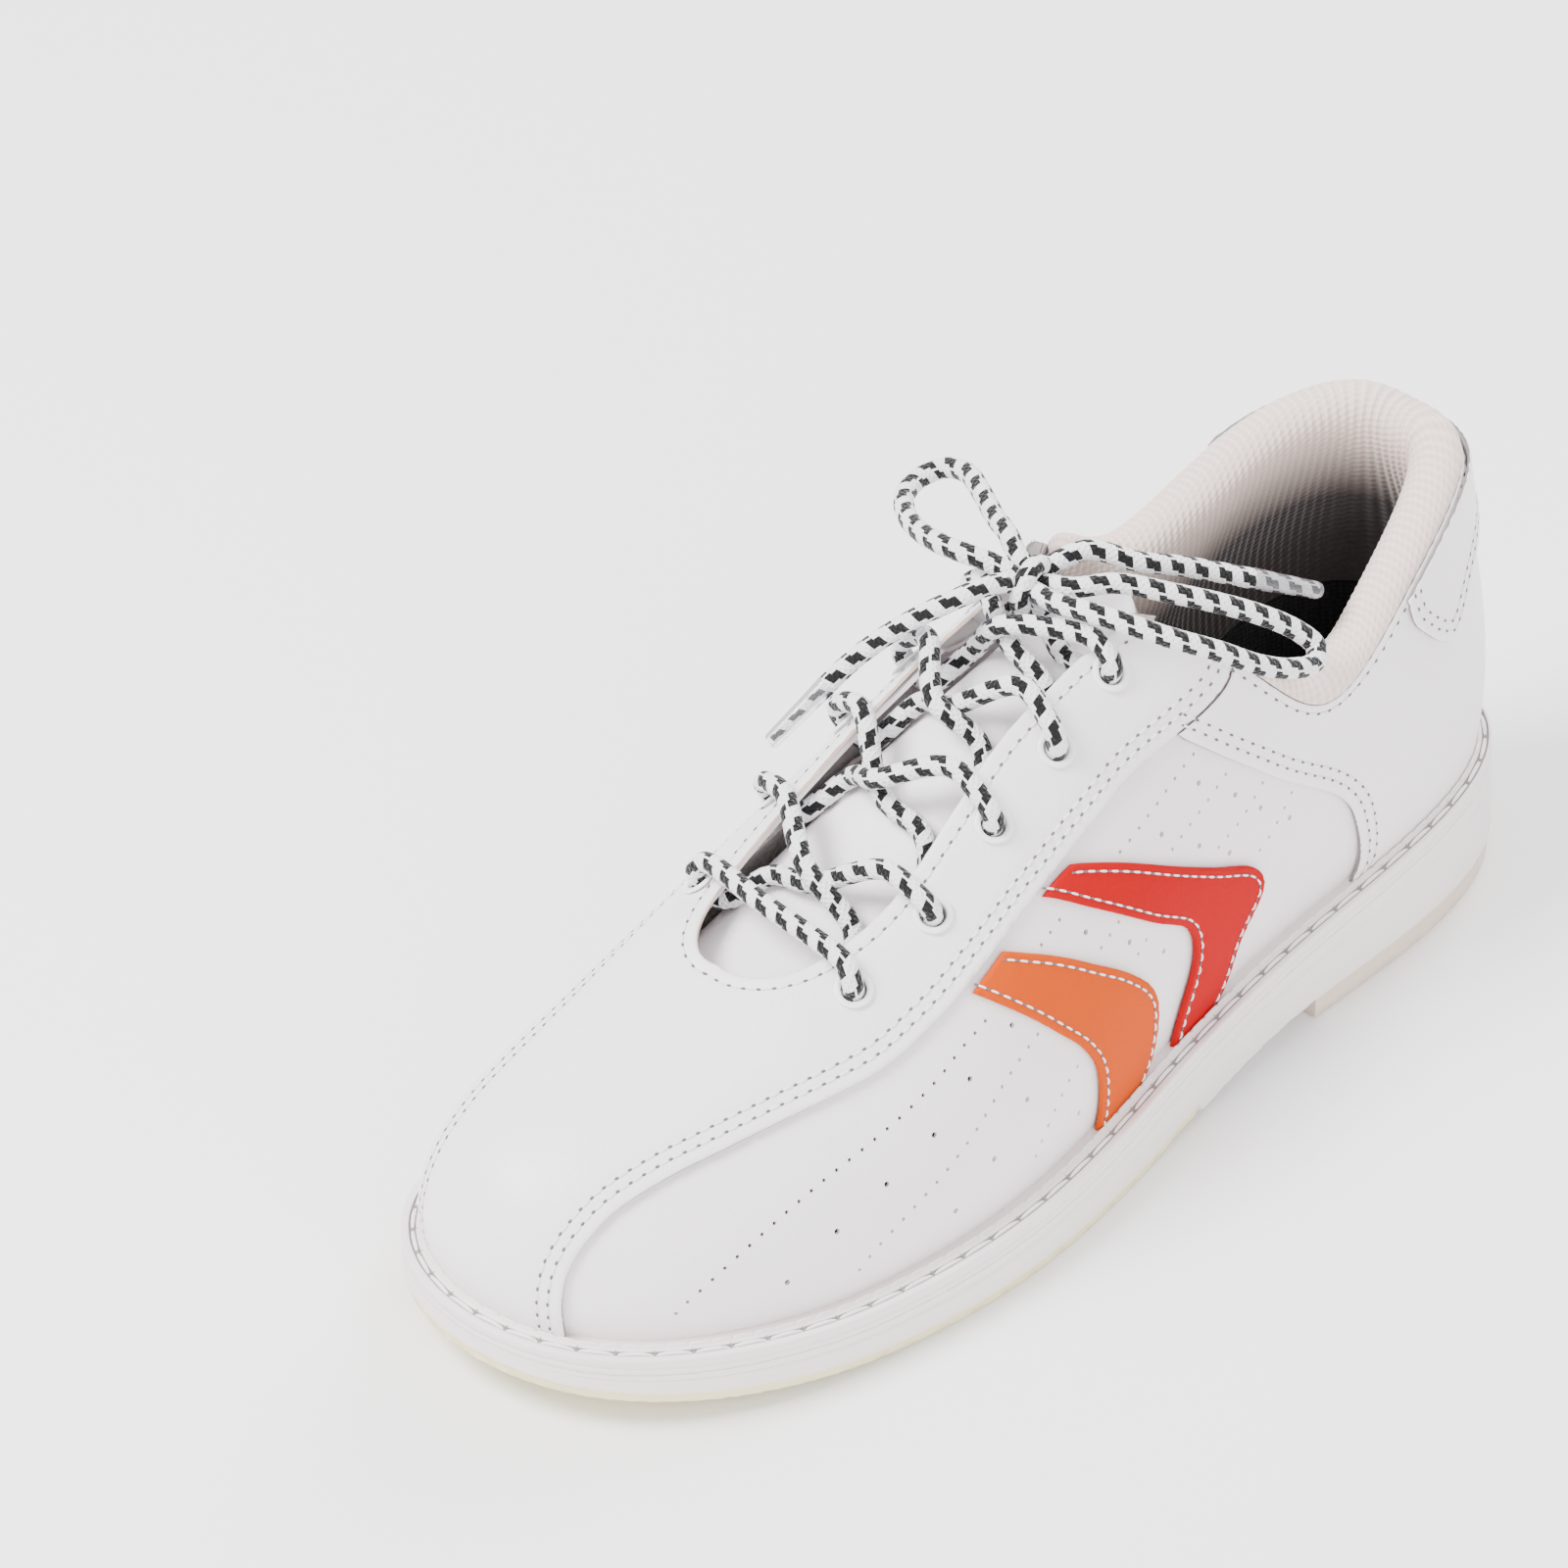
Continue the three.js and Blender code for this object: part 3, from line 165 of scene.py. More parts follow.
SHIFT = np.array([-0.8151378631591797, -1.0, 0.0])
rng = np.random.default_rng(7)


def M(p):
    return (np.asarray(p, float) + SHIFT) * 0.001


# ------------------------------------------------------------------ camera
AZ, EL, ROLL, DIST, FPX = 46.029862642, 37.880467214, -1.784351359, 2645.753977801, 12927.071735683
TARGET = np.array([-3.59122062, -50.163646197, 107.515897239])
_a, _e, _r = (math.radians(v) for v in (AZ, EL, ROLL))
back = np.array([math.sin(_a) * math.cos(_e), -math.cos(_a) * math.cos(_e), math.sin(_e)])
right = np.array([math.cos(_a), math.sin(_a), 0.0])
up = np.cross(back, right)
R_ = math.cos(_r) * right + math.sin(_r) * up
U_ = -math.sin(_r) * right + math.cos(_r) * up
cam_data = bpy.data.cameras.new("camera")
cam_data.sensor_width = 36.0
cam_data.lens = 36.0 * FPX / 1600.0
cam_data.clip_start, cam_data.clip_end = 0.1, 50.0
cam = bpy.data.objects.new("camera", cam_data)
bpy.context.scene.collection.objects.link(cam)
m = Matrix.Identity(4)
loc = M(TARGET + DIST * back)
for i_ in range(3):
    m[i_][0], m[i_][1], m[i_][2], m[i_][3] = R_[i_], U_[i_], back[i_], loc[i_]
cam.matrix_world = m
bpy.context.scene.camera = cam

# ------------------------------------------------------------------ tables shared with the CAD
SOLE = [[2.3,148],[26.5,136.8],[38,105.5],[40.7,65.6],[45.1,26.1],[52,-7.9],[55.7,-41.9],[52.9,-75],[44.4,-107],[22.5,-137.3],
  [-11,-146],[-38.5,-133],[-51,-107.5],[-54,-75],[-50,-42],[-41,-8],[-35,27],[-34.5,66],[-33.5,106],[-23,137]]
ZTOP = [[-148,-110,-75,-30,20,70,110,148],[20.5,16.8,14.6,15.8,19.6,24.7,28.3,30]]
ZBOT = [[-148,-110,-75,-55,0,20,60,70],[10,4,0.6,0,0,1.8,6,6.3]]
INSET = [5,5,5.5,6,6.5,7,7,7,7,7,7,7,7,7,7,6.5,6,5.5,5,5]
UPPER = [
  [[1,141,104],10,30,[.15,.98],26], [[17,135,101],10,30,[.15,.98],26], [[29,104,89],9,28,[.25,.97],24], [[34,73,80],8,24,[.25,.97],22],
  [[21,50,102],10,32,[.70,.70],28], [[-5,15,108],14,36,[1,.10],30], [[-5,-25,87],14,32,[1,.05],34], [[-6,-58,71],14,24,[1,0],34],
  [[-8,-85,61],15,21,[1,0],30], [[-9,-104,56],17,19,[1,0],26], [[-9,-113,54],18,20,[1,.10],20], [[-9,-104,56],18,22,[1,0],26],
  [[-8,-85,61],15,26,[1,0],28], [[-6,-58,71],12,28,[1,0],29], [[-5,-25,87],10,33,[1,.05],31], [[-5,15,108],9,37,[1,.10],31],
  [[-27,50,104],6,33,[.50,.86],27], [[-31,74,87],4,27,[.25,.97],20], [[-26,106,100],6,29,[.22,.97],25], [[-15,133,106],8,31,[.15,.98],26]]
EYELETS = [[6.66,.722],[6.0,.70],[5.44,.692],[4.92,.72],[4.50,.862]]
EYELETS_IN = [[6.56,.722],[5.82,.67],[5.31,.682],[4.88,.735],[4.48,.868]]
N = 20
LACING = [[-11.6,29.4,107],[-14.63,27.14,102.2],[-13.2,25.08,102.71],[-14.69,26.5,100.96],[-16.7,27.45,100.14],[-18.43,27.52,100.65],[-22.52,26.77,103.38],[-23.59,26.42,105],[-23.58,26.04,107.36],[-22.4,25.81,109.32],[-19.99,25.71,110.57],[-4.96,18.39,106.09],[7.11,17.51,100],[11.75,11.88,94.76],[13.29,10.44,93.07],[15.16,9.1,92.49],[16.61,8.43,93.33],[19.83,7.4,96.98],[20.44,7.08,98.83],[19.85,6.93,101.13],[18.25,7.05,102.78],[9.38,7.53,107.79],[-5.04,0.39,98.87],[-12.76,0.24,96.15],[-17,-6.71,89.86],[-18.32,-8.02,87.91],[-20.14,-9.24,87],[-21.74,-9.85,87.58],[-25.55,-10.79,90.64],[-26.45,-11.24,92.34],[-26.2,-11.76,94.65],[-24.84,-12.1,96.48],[-17.18,-13.68,99.68],[-4.99,-20.22,86.7],[7.82,-20.88,83.08],[16.17,-28.55,75.26],[17.94,-29.85,73.7],[19.82,-31.25,73.29],[21.02,-32.16,74.27],[23.35,-34.02,78.26],[23.52,-34.79,80.06],[22.41,-35.54,82.04],[20.45,-35.88,83.2],[11.9,-36.64,85.23],[-5.32,-41.6,75.2],[-16.21,-42.62,72.02],[-20.3,-47.89,67.99],[-22.02,-49.36,66.51],[-23.86,-50.81,66.19],[-25.07,-51.66,67.22],[-27.46,-53.16,71.32],[-27.72,-53.54,73.24],[-26.77,-53.5,75.43],[-24.99,-53.03,76.81],[-5.75,-55.53,77.75],[18.37,-55.45,75],[20.2,-56.04,73.73],[21.3,-56.12,71.61],[21.21,-55.7,69.69],[19.24,-53.96,65.46],[18.16,-53.02,64.36],[16.4,-51.45,64.57],[14.68,-49.9,65.96],[8.32,-43.06,71.36],[-5.29,-42.93,80.55],[-20.18,-34.21,86.94],[-27.36,-32.37,85.3],[-28.95,-31.58,83.83],[-29.48,-30.57,81.73],[-28.81,-29.82,80.04],[-25.43,-28.45,76.65],[-23.93,-27.74,75.94],[-22.03,-26.55,76.74],[-20.51,-25.38,78.64],[-15.48,-18.79,85.19],[-4.99,-21.85,92.03],[9.4,-14.02,98.47],[18.96,-13.87,94.62],[20.71,-13.88,93.12],[21.52,-13.53,90.91],[21.09,-13.02,89.05],[18.25,-11.56,85.23],[16.89,-10.79,84.34],[14.96,-9.53,84.87],[13.24,-8.29,86.55],[5.14,-0.8,94.59],[-5.04,-3.79,102.75],[-16.75,5.84,108.15],[-23.45,6.17,103.81],[-24.67,6.13,101.85],[-24.73,6.25,99.47],[-23.7,6.44,97.8],[-19.67,7.01,94.92],[-18.05,7.58,94.37],[-16.37,9.05,95.17],[-15.29,10.78,96.94],[-13.34,16.28,100.6],[-4.97,16.77,111.25],[11.65,26.73,111.25],[14.86,26.79,110.02],[16.57,26.9,108.48],[17.29,27.16,106.22],[16.76,27.45,104.34],[13.68,28.15,100.49],[12.14,28.23,99.55],[9.85,27.8,99.94],[7.72,27.07,101.45],[1.67,27.36,102.2],[-5.2,29.4,107]]
TSEC = [[[13.37,-96.72,47.05],[8.52,-95.52,49.63],[3.46,-93.84,51.57],[-1.94,-92.3,52.66],[-7.94,-92.42,52.84],[-13.9,-92.91,52.71],[-18.67,-95.6,51.48],[-23.07,-98.23,49.42],[-27.22,-100.28,46.58]],
    [[15.2,-86.03,47.99],[10.05,-83.67,50.9],[4.6,-81.19,53.09],[-1.2,-79.13,54.35],[-7.56,-79.1,54.53],[-13.89,-79.81,54.37],[-18.97,-83.2,52.86],[-23.68,-86.73,50.43],[-28.05,-90,47.16]],
    [[17.42,-74.38,51.33],[11.98,-72.15,54.68],[6.17,-69.83,57.21],[-0.05,-67.9,58.64],[-6.8,-67.83,58.84],[-13.5,-68.55,58.59],[-18.92,-71.95,56.6],[-23.93,-75.31,53.56],[-28.24,-78.21,49.85]],
    [[18.76,-62.13,55.73],[13.22,-60.03,59.31],[7.28,-57.82,62.02],[0.88,-56.12,63.48],[-5.99,-56.04,63.69],[-12.83,-56.62,63.41],[-18.45,-59.73,61.17],[-23.53,-62.87,57.71],[-28.05,-65.69,53.28]],
    [[19.8,-47.67,61.34],[14.24,-45.55,65.15],[8.3,-43.25,68.12],[1.74,-41.77,69.64],[-5.25,-41.72,69.89],[-12.22,-42.25,69.61],[-17.93,-45.18,67.19],[-22.84,-48.42,63.31],[-27.14,-51.35,58.51]],
    [[19.16,-30.44,69.42],[13.93,-28.08,73.54],[8.3,-25.58,76.94],[1.96,-23.85,78.88],[-5.04,-23.86,79.2],[-11.98,-24.58,78.85],[-17.1,-27.98,75.87],[-21.22,-31.69,71.52],[-24.86,-35.01,66.43]],
    [[16.8,-12.86,78.55],[12.12,-10.42,83.03],[7.08,-7.75,86.94],[1.72,-4.92,90.03],[-5.13,-4.93,90.66],[-11.56,-6.68,89.76],[-14.97,-11.22,85.86],[-18.25,-15.15,81.22],[-21.35,-18.35,75.9]],
    [[15.52,1.5,84.33],[11.18,3.87,88.98],[6.5,6.49,93.1],[1.61,9.59,96.55],[-4.99,9.44,97.33],[-10.52,6.58,96],[-13.55,1.99,92.1],[-16.6,-1.62,87.27],[-19.33,-4.47,81.75]],
    [[14.79,12.98,88.09],[10.84,15.41,92.47],[6.56,18.11,96.33],[1.59,20.43,99.03],[-4.73,19.86,99.46],[-10.62,17.85,98.79],[-13.07,13.2,95.26],[-15.71,9.55,90.76],[-18.07,6.67,85.6]],
    [[13.74,23.68,91.71],[10.3,26.61,95.59],[6.7,29.78,98.92],[1.08,30.31,99.98],[-4.65,30.04,100.39],[-10.32,29.07,100.26],[-13.09,25.29,97.72],[-15,21.26,93.8],[-16.85,17.82,89.26]],
    [[12.84,32.45,94.72],[10.13,36.33,98.35],[5.77,38.52,100.39],[0.69,39.17,101.23],[-4.42,39.19,101.67],[-9.52,38.55,101.7],[-13.79,36.22,100.39],[-14.73,31.75,96.76],[-16.14,27.55,92.62]],
    [[11.1,40.08,98.9],[7.83,43.36,101.28],[3.78,45.02,102.47],[-0.32,45.9,103.24],[-4.44,46.08,103.64],[-8.55,45.55,103.68],[-12.61,44.1,103.16],[-14.5,40.31,100.64],[-15.3,35.65,97.09]],
    [[6.79,44.97,102.02],[4.08,47.62,103.44],[1.35,49.47,104.49],[-1.39,50.55,105.18],[-4.13,50.85,105.52],[-6.88,50.37,105.51],[-9.62,49.09,105.12],[-12.33,46.92,104.26],[-14.52,43.31,102.41]]]

# ------------------------------------------------------------------ small maths
def pspline(P):
    P = np.array(P, float)
    P = P[:, None] if P.ndim == 1 else P
    n = len(P)
    A = 4 * np.eye(n) + np.roll(np.eye(n), 1, 0) + np.roll(np.eye(n), -1, 0)
    R = np.linalg.solve(A, 3 * (np.roll(P, -1, 0) - np.roll(P, 1, 0)))

    def f(u):
        u = np.mod(np.asarray(u, float), n)
        i = np.floor(u).astype(int) % n
        t = (u - np.floor(u))[..., None]
        j = (i + 1) % n
        return (2*t**3 - 3*t**2 + 1) * P[i] + (t**3 - 2*t**2 + t) * R[i] + (-2*t**3 + 3*t**2) * P[j] + (t**3 - t**2) * R[j]
    return f


def table(T):
    xs, ys = np.array(T[0], float), np.array(T[1], float)
    n = len(xs)
    d = np.diff(ys) / np.diff(xs)
    m = np.zeros(n)
    m[0], m[-1] = d[0], d[-1]
    for i in range(1, n - 1):
        m[i] = 0 if d[i-1] * d[i] <= 0 else 2 * d[i-1] * d[i] / (d[i-1] + d[i])

    def f(x):
        x = np.clip(np.asarray(x, float), xs[0], xs[-1])
        i = np.clip(np.searchsorted(xs, x, side="right") - 1, 0, n - 2)
        h = xs[i+1] - xs[i]
        t = (x - xs[i]) / h
        return (2*t**3 - 3*t**2 + 1) * ys[i] + (t**3 - 2*t**2 + t) * h * m[i] + (-2*t**3 + 3*t**2) * ys[i+1] + (t**3 - t**2) * h * m[i+1]
    return f


zt, zb, f_sole, f_ins = table(ZTOP), table(ZBOT), pspline(SOLE), pspline(INSET)
f_p1 = pspline([r[0] for r in UPPER])
f_q = pspline([[r[1], r[2], r[3][0], r[3][1], r[4]] for r in UPPER])


def unit(v):
    return v / (np.linalg.norm(v, axis=-1, keepdims=True) + 1e-12)


def outl(u, inset=0.0):
    u = np.asarray(u, float)
    p = f_sole(u)
    d = unit(f_sole(u + 1e-3) - f_sole(u - 1e-3))
    inset = np.asarray(inset, float)
    return p[..., 0] + d[..., 1] * inset, p[..., 1] - d[..., 0] * inset, -d[..., 1], d[..., 0]


def ins(u):
    return f_ins(u)[..., 0]


def s_raw(u, t):
    u, t = np.broadcast_arrays(np.asarray(u, float), np.asarray(t, float))
    x, y, nx, ny = outl(u, ins(u))
    q, T = f_q(u), f_p1(u)
    P0 = np.stack([x, y, zt(y) - 1], -1)
    l = np.radians(q[..., 0])
    D0 = np.stack([nx * np.sin(l), ny * np.sin(l), np.cos(l)], -1)
    h = T - P0
    h[..., 2] = 0
    h = unit(h)
    D1 = unit(np.stack([h[..., 0] * q[..., 2], h[..., 1] * q[..., 2], q[..., 3]], -1))
    A, B = P0 + D0 * q[..., 1:2], T - D1 * q[..., 4:5]
    t = t[..., None]
    s = 1 - t
    return P0 * s**3 + A * 3*s*s*t + B * 3*s*t*t + T * t**3


def d1_at(u):
    x, y, nx, ny = outl(u, ins(u))
    q, T = f_q(u), f_p1(u)
    h = T - np.stack([x, y, zt(y) - 1], -1)
    h[..., 2] = 0
    h = unit(h)
    return unit(np.stack([h[..., 0] * q[..., 2], h[..., 1] * q[..., 2], q[..., 3]], -1))


def s_norm(u, t):
    e = 4e-3
    du = s_raw(u + e, t) - s_raw(u - e, t)
    dt = s_raw(u, np.minimum(1, t + e)) - s_raw(u, np.maximum(0, t - e))
    return -unit(np.cross(du, dt))


def is_crest(u, t):
    return (t > 0.9999) & (u > 4.9) & (u < 15.1)


def S(u, t):
    u, t = np.broadcast_arrays(np.asarray(u, float), np.asarray(t, float))
    a = s_raw(u, t)
    return np.where(is_crest(u, t)[..., None], (a + s_raw(N - u, t)) / 2, a)


def NN(u, t):
    u, t = np.broadcast_arrays(np.asarray(u, float), np.asarray(t, float))
    q = np.where(np.abs(u - 10) < 0.4, 0.94, 0.985)
    c = is_crest(u, t)
    a = s_norm(u, np.minimum(t, np.where(np.abs(u - 10) < 0.4, 0.94, 0.985)))
    b = unit(s_norm(u, q) + s_norm(N - u, q))
    return np.where(c[..., None], b, a)


def catmull(pts, closed=False, per=None, step=None, n=None):
    """Centripetal curve through points, as dense points (n per piece) or even steps."""
    P = [np.array(p, float) for p in pts]
    L = len(P)
    out = []
    per = per or 24
    for i in range(L if closed else L - 1):
        if closed:
            p0, p1, p2, p3 = P[(i-1) % L], P[i % L], P[(i+1) % L], P[(i+2) % L]
        else:
            p1, p2 = P[i], P[i+1]
            p0 = P[i-1] if i > 0 else 2 * P[0] - P[1]
            p3 = P[i+2] if i + 2 < L else 2 * P[-1] - P[-2]
        a, b, c = (max(np.dot(y - x, y - x), 1e-12) ** 0.25 for x, y in ((p0, p1), (p1, p2), (p2, p3)))
        if b < 1e-4: b = 1.0
        if a < 1e-4: a = b
        if c < 1e-4: c = b
        t1 = ((p1 - p0) / a - (p2 - p0) / (a + b) + (p2 - p1) / b) * b
        t2 = ((p2 - p1) / b - (p3 - p1) / (b + c) + (p3 - p2) / c) * b
        t = np.arange(per)[:, None] / per
        out.append(p1 + t1 * t + (-3*p1 + 3*p2 - 2*t1 - t2) * t**2 + (2*p1 - 2*p2 + t1 + t2) * t**3)
    if not closed:
        out.append(P[-1][None])
    Q = np.concatenate(out)
    if closed:
        Q = np.concatenate([Q, Q[:1]])
    if step or n:
        Q = even(Q, step, n)
    return Q


def even(Q, step=None, n=None, scale=1.0):
    Q = np.asarray(Q, float)
    d = np.concatenate([[0], np.cumsum(np.linalg.norm(np.diff(Q * scale, axis=0), axis=1))])
    n = n or max(1, int(round(d[-1] / step)))
    s = np.linspace(0, d[-1], n + 1)
    return np.stack([np.interp(s, d, Q[:, k]) for k in range(Q.shape[1])], 1)


SC = np.array([24.0, 80.0])


def smooth(pts):
    return catmull(np.array(pts) * SC, per=10) / SC


def seg(*pts):
    return np.array(pts, float)


def length(Q):
    return float(np.linalg.norm(np.diff(Q, axis=0), axis=1).sum())


def inside(P, ring):
    x, y = P[:, 0], P[:, 1]
    r = np.zeros(len(P), bool)
    for a, b in zip(ring, np.roll(ring, -1, 0)):
        if a[1] != b[1]:
            c = (a[1] > y) != (b[1] > y)
            r ^= c & (x < (b[0] - a[0]) * (y - a[1]) / (b[1] - a[1]) + a[0])
    return r


def tree(P):
    k = KDTree(len(P))
    for i, p in enumerate(P):
        k.insert(p, i)
    k.balance()
    return k


def dist(k, P):
    return np.array([k.find(p)[2] for p in P])


def shift_uv(uv, d):
    """Points of a line in (station, height), moved d mm to its left as seen from outside the shoe."""
    uv = np.asarray(uv, float)
    P = s_raw(uv[:, 0], uv[:, 1])
    n = s_norm(uv[:, 0], np.minimum(uv[:, 1], .985))
    T = unit(np.gradient(P, axis=0))
    side = np.cross(n, T)
    e = 5e-3
    u, t = uv[:, 0], uv[:, 1]
    du = (s_raw(u + e, t) - s_raw(u - e, t)) / (2 * e)
    t1, t0 = np.minimum(1, t + e), np.maximum(0, t - e)
    dt = (s_raw(u, t1) - s_raw(u, t0)) / (t1 - t0)[:, None]
    a11, a12, a22 = (du * du).sum(-1), (du * dt).sum(-1), (dt * dt).sum(-1)
    b1, b2 = (side * du).sum(-1) * d, (side * dt).sum(-1) * d
    det = a11 * a22 - a12 * a12
    Q = uv + np.stack([(b1 * a22 - b2 * a12) / det, (b2 * a11 - b1 * a12) / det], -1)
    k = tree(P)
    keep = dist(k, s_raw(Q[:, 0], np.clip(Q[:, 1], 0, 1))) > abs(d) * 0.93
    return Q[keep & (Q[:, 1] < 0.999) & (Q[:, 1] > 0.004)]


# ------------------------------------------------------------------ materials
class X:
    """A socket in an expression of Math nodes."""
    def __init__(self, nt, s):
        self.nt, self.s = nt, s

    def op(self, kind, *others):
        n = self.nt.nodes.new("ShaderNodeMath")
        n.operation = kind
        for i, v in enumerate((self, *others)):
            if isinstance(v, X):
                self.nt.links.new(v.s, n.inputs[i])
            else:
                n.inputs[i].default_value = v
        return X(self.nt, n.outputs[0])

    def __add__(self, o): return self.op("ADD", o)
    def __sub__(self, o): return self.op("SUBTRACT", o)
    def __mul__(self, o): return self.op("MULTIPLY", o)
    def __gt__(self, o): return self.op("GREATER_THAN", o)
    def __lt__(self, o): return self.op("LESS_THAN", o)


def base(name, color, rough=0.5, metal=0.0, spec=0.5, coat=0.0, sheen=0.0, sss=0.0):
    mt = bpy.data.materials.new(name)
    mt.use_nodes = True
    nt = mt.node_tree
    b = nt.nodes["Principled BSDF"]
    b.inputs["Base Color"].default_value = (*color, 1)
    b.inputs["Roughness"].default_value = rough
    b.inputs["Metallic"].default_value = metal
    b.inputs["Specular IOR Level"].default_value = spec
    b.inputs["Coat Weight"].default_value = coat
    b.inputs["Sheen Weight"].default_value = sheen
    mt.diffuse_color = (*color, 1)
    return mt, nt, b


def node(nt, kind, **kw):
    n = nt.nodes.new(kind)
    for k, v in kw.items():
        n.inputs[k].default_value = v
    return n


def coords(nt, out="Object"):
    return nt.nodes.new("ShaderNodeTexCoord").outputs[out]


def lin(c):
    """sRGB 0-255 to linear."""
    return tuple(((v / 255) / 12.92 if v / 255 <= 0.04045 else ((v / 255 + 0.055) / 1.055) ** 2.4) for v in c)


def tone(nt, b, color, amount, scale):
    """A slight cloudy change of tone."""
    tc = coords(nt)
    nz = node(nt, "ShaderNodeTexNoise", Scale=scale, Detail=3.0)
    nt.links.new(tc, nz.inputs["Vector"])
    mx = nt.nodes.new("ShaderNodeMix")
    mx.data_type = "RGBA"
    mx.inputs[6].default_value = (*[c * (1 - amount) for c in color], 1)
    mx.inputs[7].default_value = (*[min(1, c * (1 + amount * .5)) for c in color], 1)
    nt.links.new(nz.outputs["Fac"], mx.inputs[0])
    nt.links.new(mx.outputs[2], b.inputs["Base Color"])
    return mx


def bump(nt, b, height, strength, distance):
    bp = node(nt, "ShaderNodeBump", Strength=strength, Distance=distance)
    nt.links.new(height, bp.inputs["Height"])
    nt.links.new(bp.outputs["Normal"], b.inputs["Normal"])


def leather(name, rgb, rough=0.42, grain=0.25, spec=0.45):
    c = lin(rgb)
    mt, nt, b = base(name, c, rough, spec=spec)
    tone(nt, b, c, 0.035, 60.0)
    tc = coords(nt)
    vo = node(nt, "ShaderNodeTexVoronoi", Scale=1100.0)
    nz = node(nt, "ShaderNodeTexNoise", Scale=420.0, Detail=6.0)
    nt.links.new(tc, vo.inputs["Vector"])
    nt.links.new(tc, nz.inputs["Vector"])
    h = X(nt, vo.outputs["Distance"]) * 0.5 + X(nt, nz.outputs["Fac"]) * 0.8
    bump(nt, b, h.s, grain, 0.00025)
    return mt


def rubber(name, rgb, rough=0.5, scale=900.0, strength=0.12, amount=.03):
    c = lin(rgb)
    mt, nt, b = base(name, c, rough, spec=0.4)
    tone(nt, b, c, amount, 45.0)
    tc = coords(nt)
    nz = node(nt, "ShaderNodeTexNoise", Scale=scale, Detail=4.0)
    nt.links.new(tc, nz.inputs["Vector"])
    bump(nt, b, nz.outputs["Fac"], strength, 0.0002)
    return mt


def textile(name, rgb, dark=None, pitch=0.0011, rough=0.9, strength=0.5, front=None):
    """Knitted mesh: small cells, with the gaps darkened as painted shade; front = (y from, y to, rgb of the toe side).
    """
    c = lin(rgb)
    d = lin(dark) if dark else tuple(v * 0.72 for v in c)
    mt, nt, b = base(name, c, rough, spec=0.2, sheen=0.25)
    tc = coords(nt)
    vo = node(nt, "ShaderNodeTexVoronoi", Scale=1.0 / pitch, Randomness=0.35)
    nt.links.new(tc, vo.inputs["Vector"])
    cr = nt.nodes.new("ShaderNodeValToRGB")
    cr.color_ramp.elements[0].position, cr.color_ramp.elements[0].color = 0.25, (*c, 1)
    cr.color_ramp.elements[1].position, cr.color_ramp.elements[1].color = 0.75, (*d, 1)
    nt.links.new(vo.outputs["Distance"], cr.inputs["Fac"])
    last = cr.outputs["Color"]
    if front:
        sp = nt.nodes.new("ShaderNodeSeparateXYZ")
        nt.links.new(tc, sp.inputs[0])
        k = ((X(nt, sp.outputs[1]) - front[0]) * (1.0 / (front[1] - front[0]))).op("MINIMUM", 1.0).op("MAXIMUM", 0.0)
        m2 = nt.nodes.new("ShaderNodeMix")
        m2.data_type = "RGBA"
        m2.inputs[6].default_value = (*lin(front[2]), 1)
        nt.links.new(k.s, m2.inputs[0])
        nt.links.new(last, m2.inputs[7])
        last = m2.outputs[2]
    nt.links.new(last, b.inputs["Base Color"])
    bump(nt, b, (X(nt, vo.outputs["Distance"]) * -1.0).s, strength, 0.0004)
    return mt


def knit_ribs(name, rgb, rib, shade=0.8, fade=None):
    """Ribbed knit: UV x runs along the collar in mm, UV y across it in mm; the rib valleys are darkened by shade as
    painted shade; fade = (from, to, rgb) darkens the inside as painted shade.
    """
    c = lin(rgb)
    mt, nt, b = base(name, c, 0.9, spec=0.15, sheen=0.3)
    sp = nt.nodes.new("ShaderNodeSeparateXYZ")
    nt.links.new(coords(nt, "UV"), sp.inputs[0])
    x, y = X(nt, sp.outputs[0]), X(nt, sp.outputs[1])
    rib_w = (x * (2 * math.pi / rib)).op("SINE") * 0.5 + 0.5
    purl = (y * (2 * math.pi / (rib * 0.85)) + x * (math.pi / rib)).op("SINE") * 0.5 + 0.5
    h = rib_w * 0.65 + purl * 0.35
    mx = nt.nodes.new("ShaderNodeMix")
    mx.data_type = "RGBA"
    mx.inputs[6].default_value = (*[v * shade for v in c], 1)
    mx.inputs[7].default_value = (*c, 1)
    nt.links.new(h.s, mx.inputs[0])
    last = mx.outputs[2]
    if fade:
        k = ((y - fade[0]) * (1.0 / (fade[1] - fade[0]))).op("MINIMUM", 1.0).op("MAXIMUM", 0.0)
        m2 = nt.nodes.new("ShaderNodeMix")
        m2.data_type = "RGBA"
        m2.inputs[7].default_value = (*lin(fade[2]), 1)
        nt.links.new(k.s, m2.inputs[0])
        nt.links.new(last, m2.inputs[6])
        last = m2.outputs[2]
    nt.links.new(last, b.inputs["Base Color"])
    bump(nt, b, h.s, 0.7, 0.0004)
    return mt


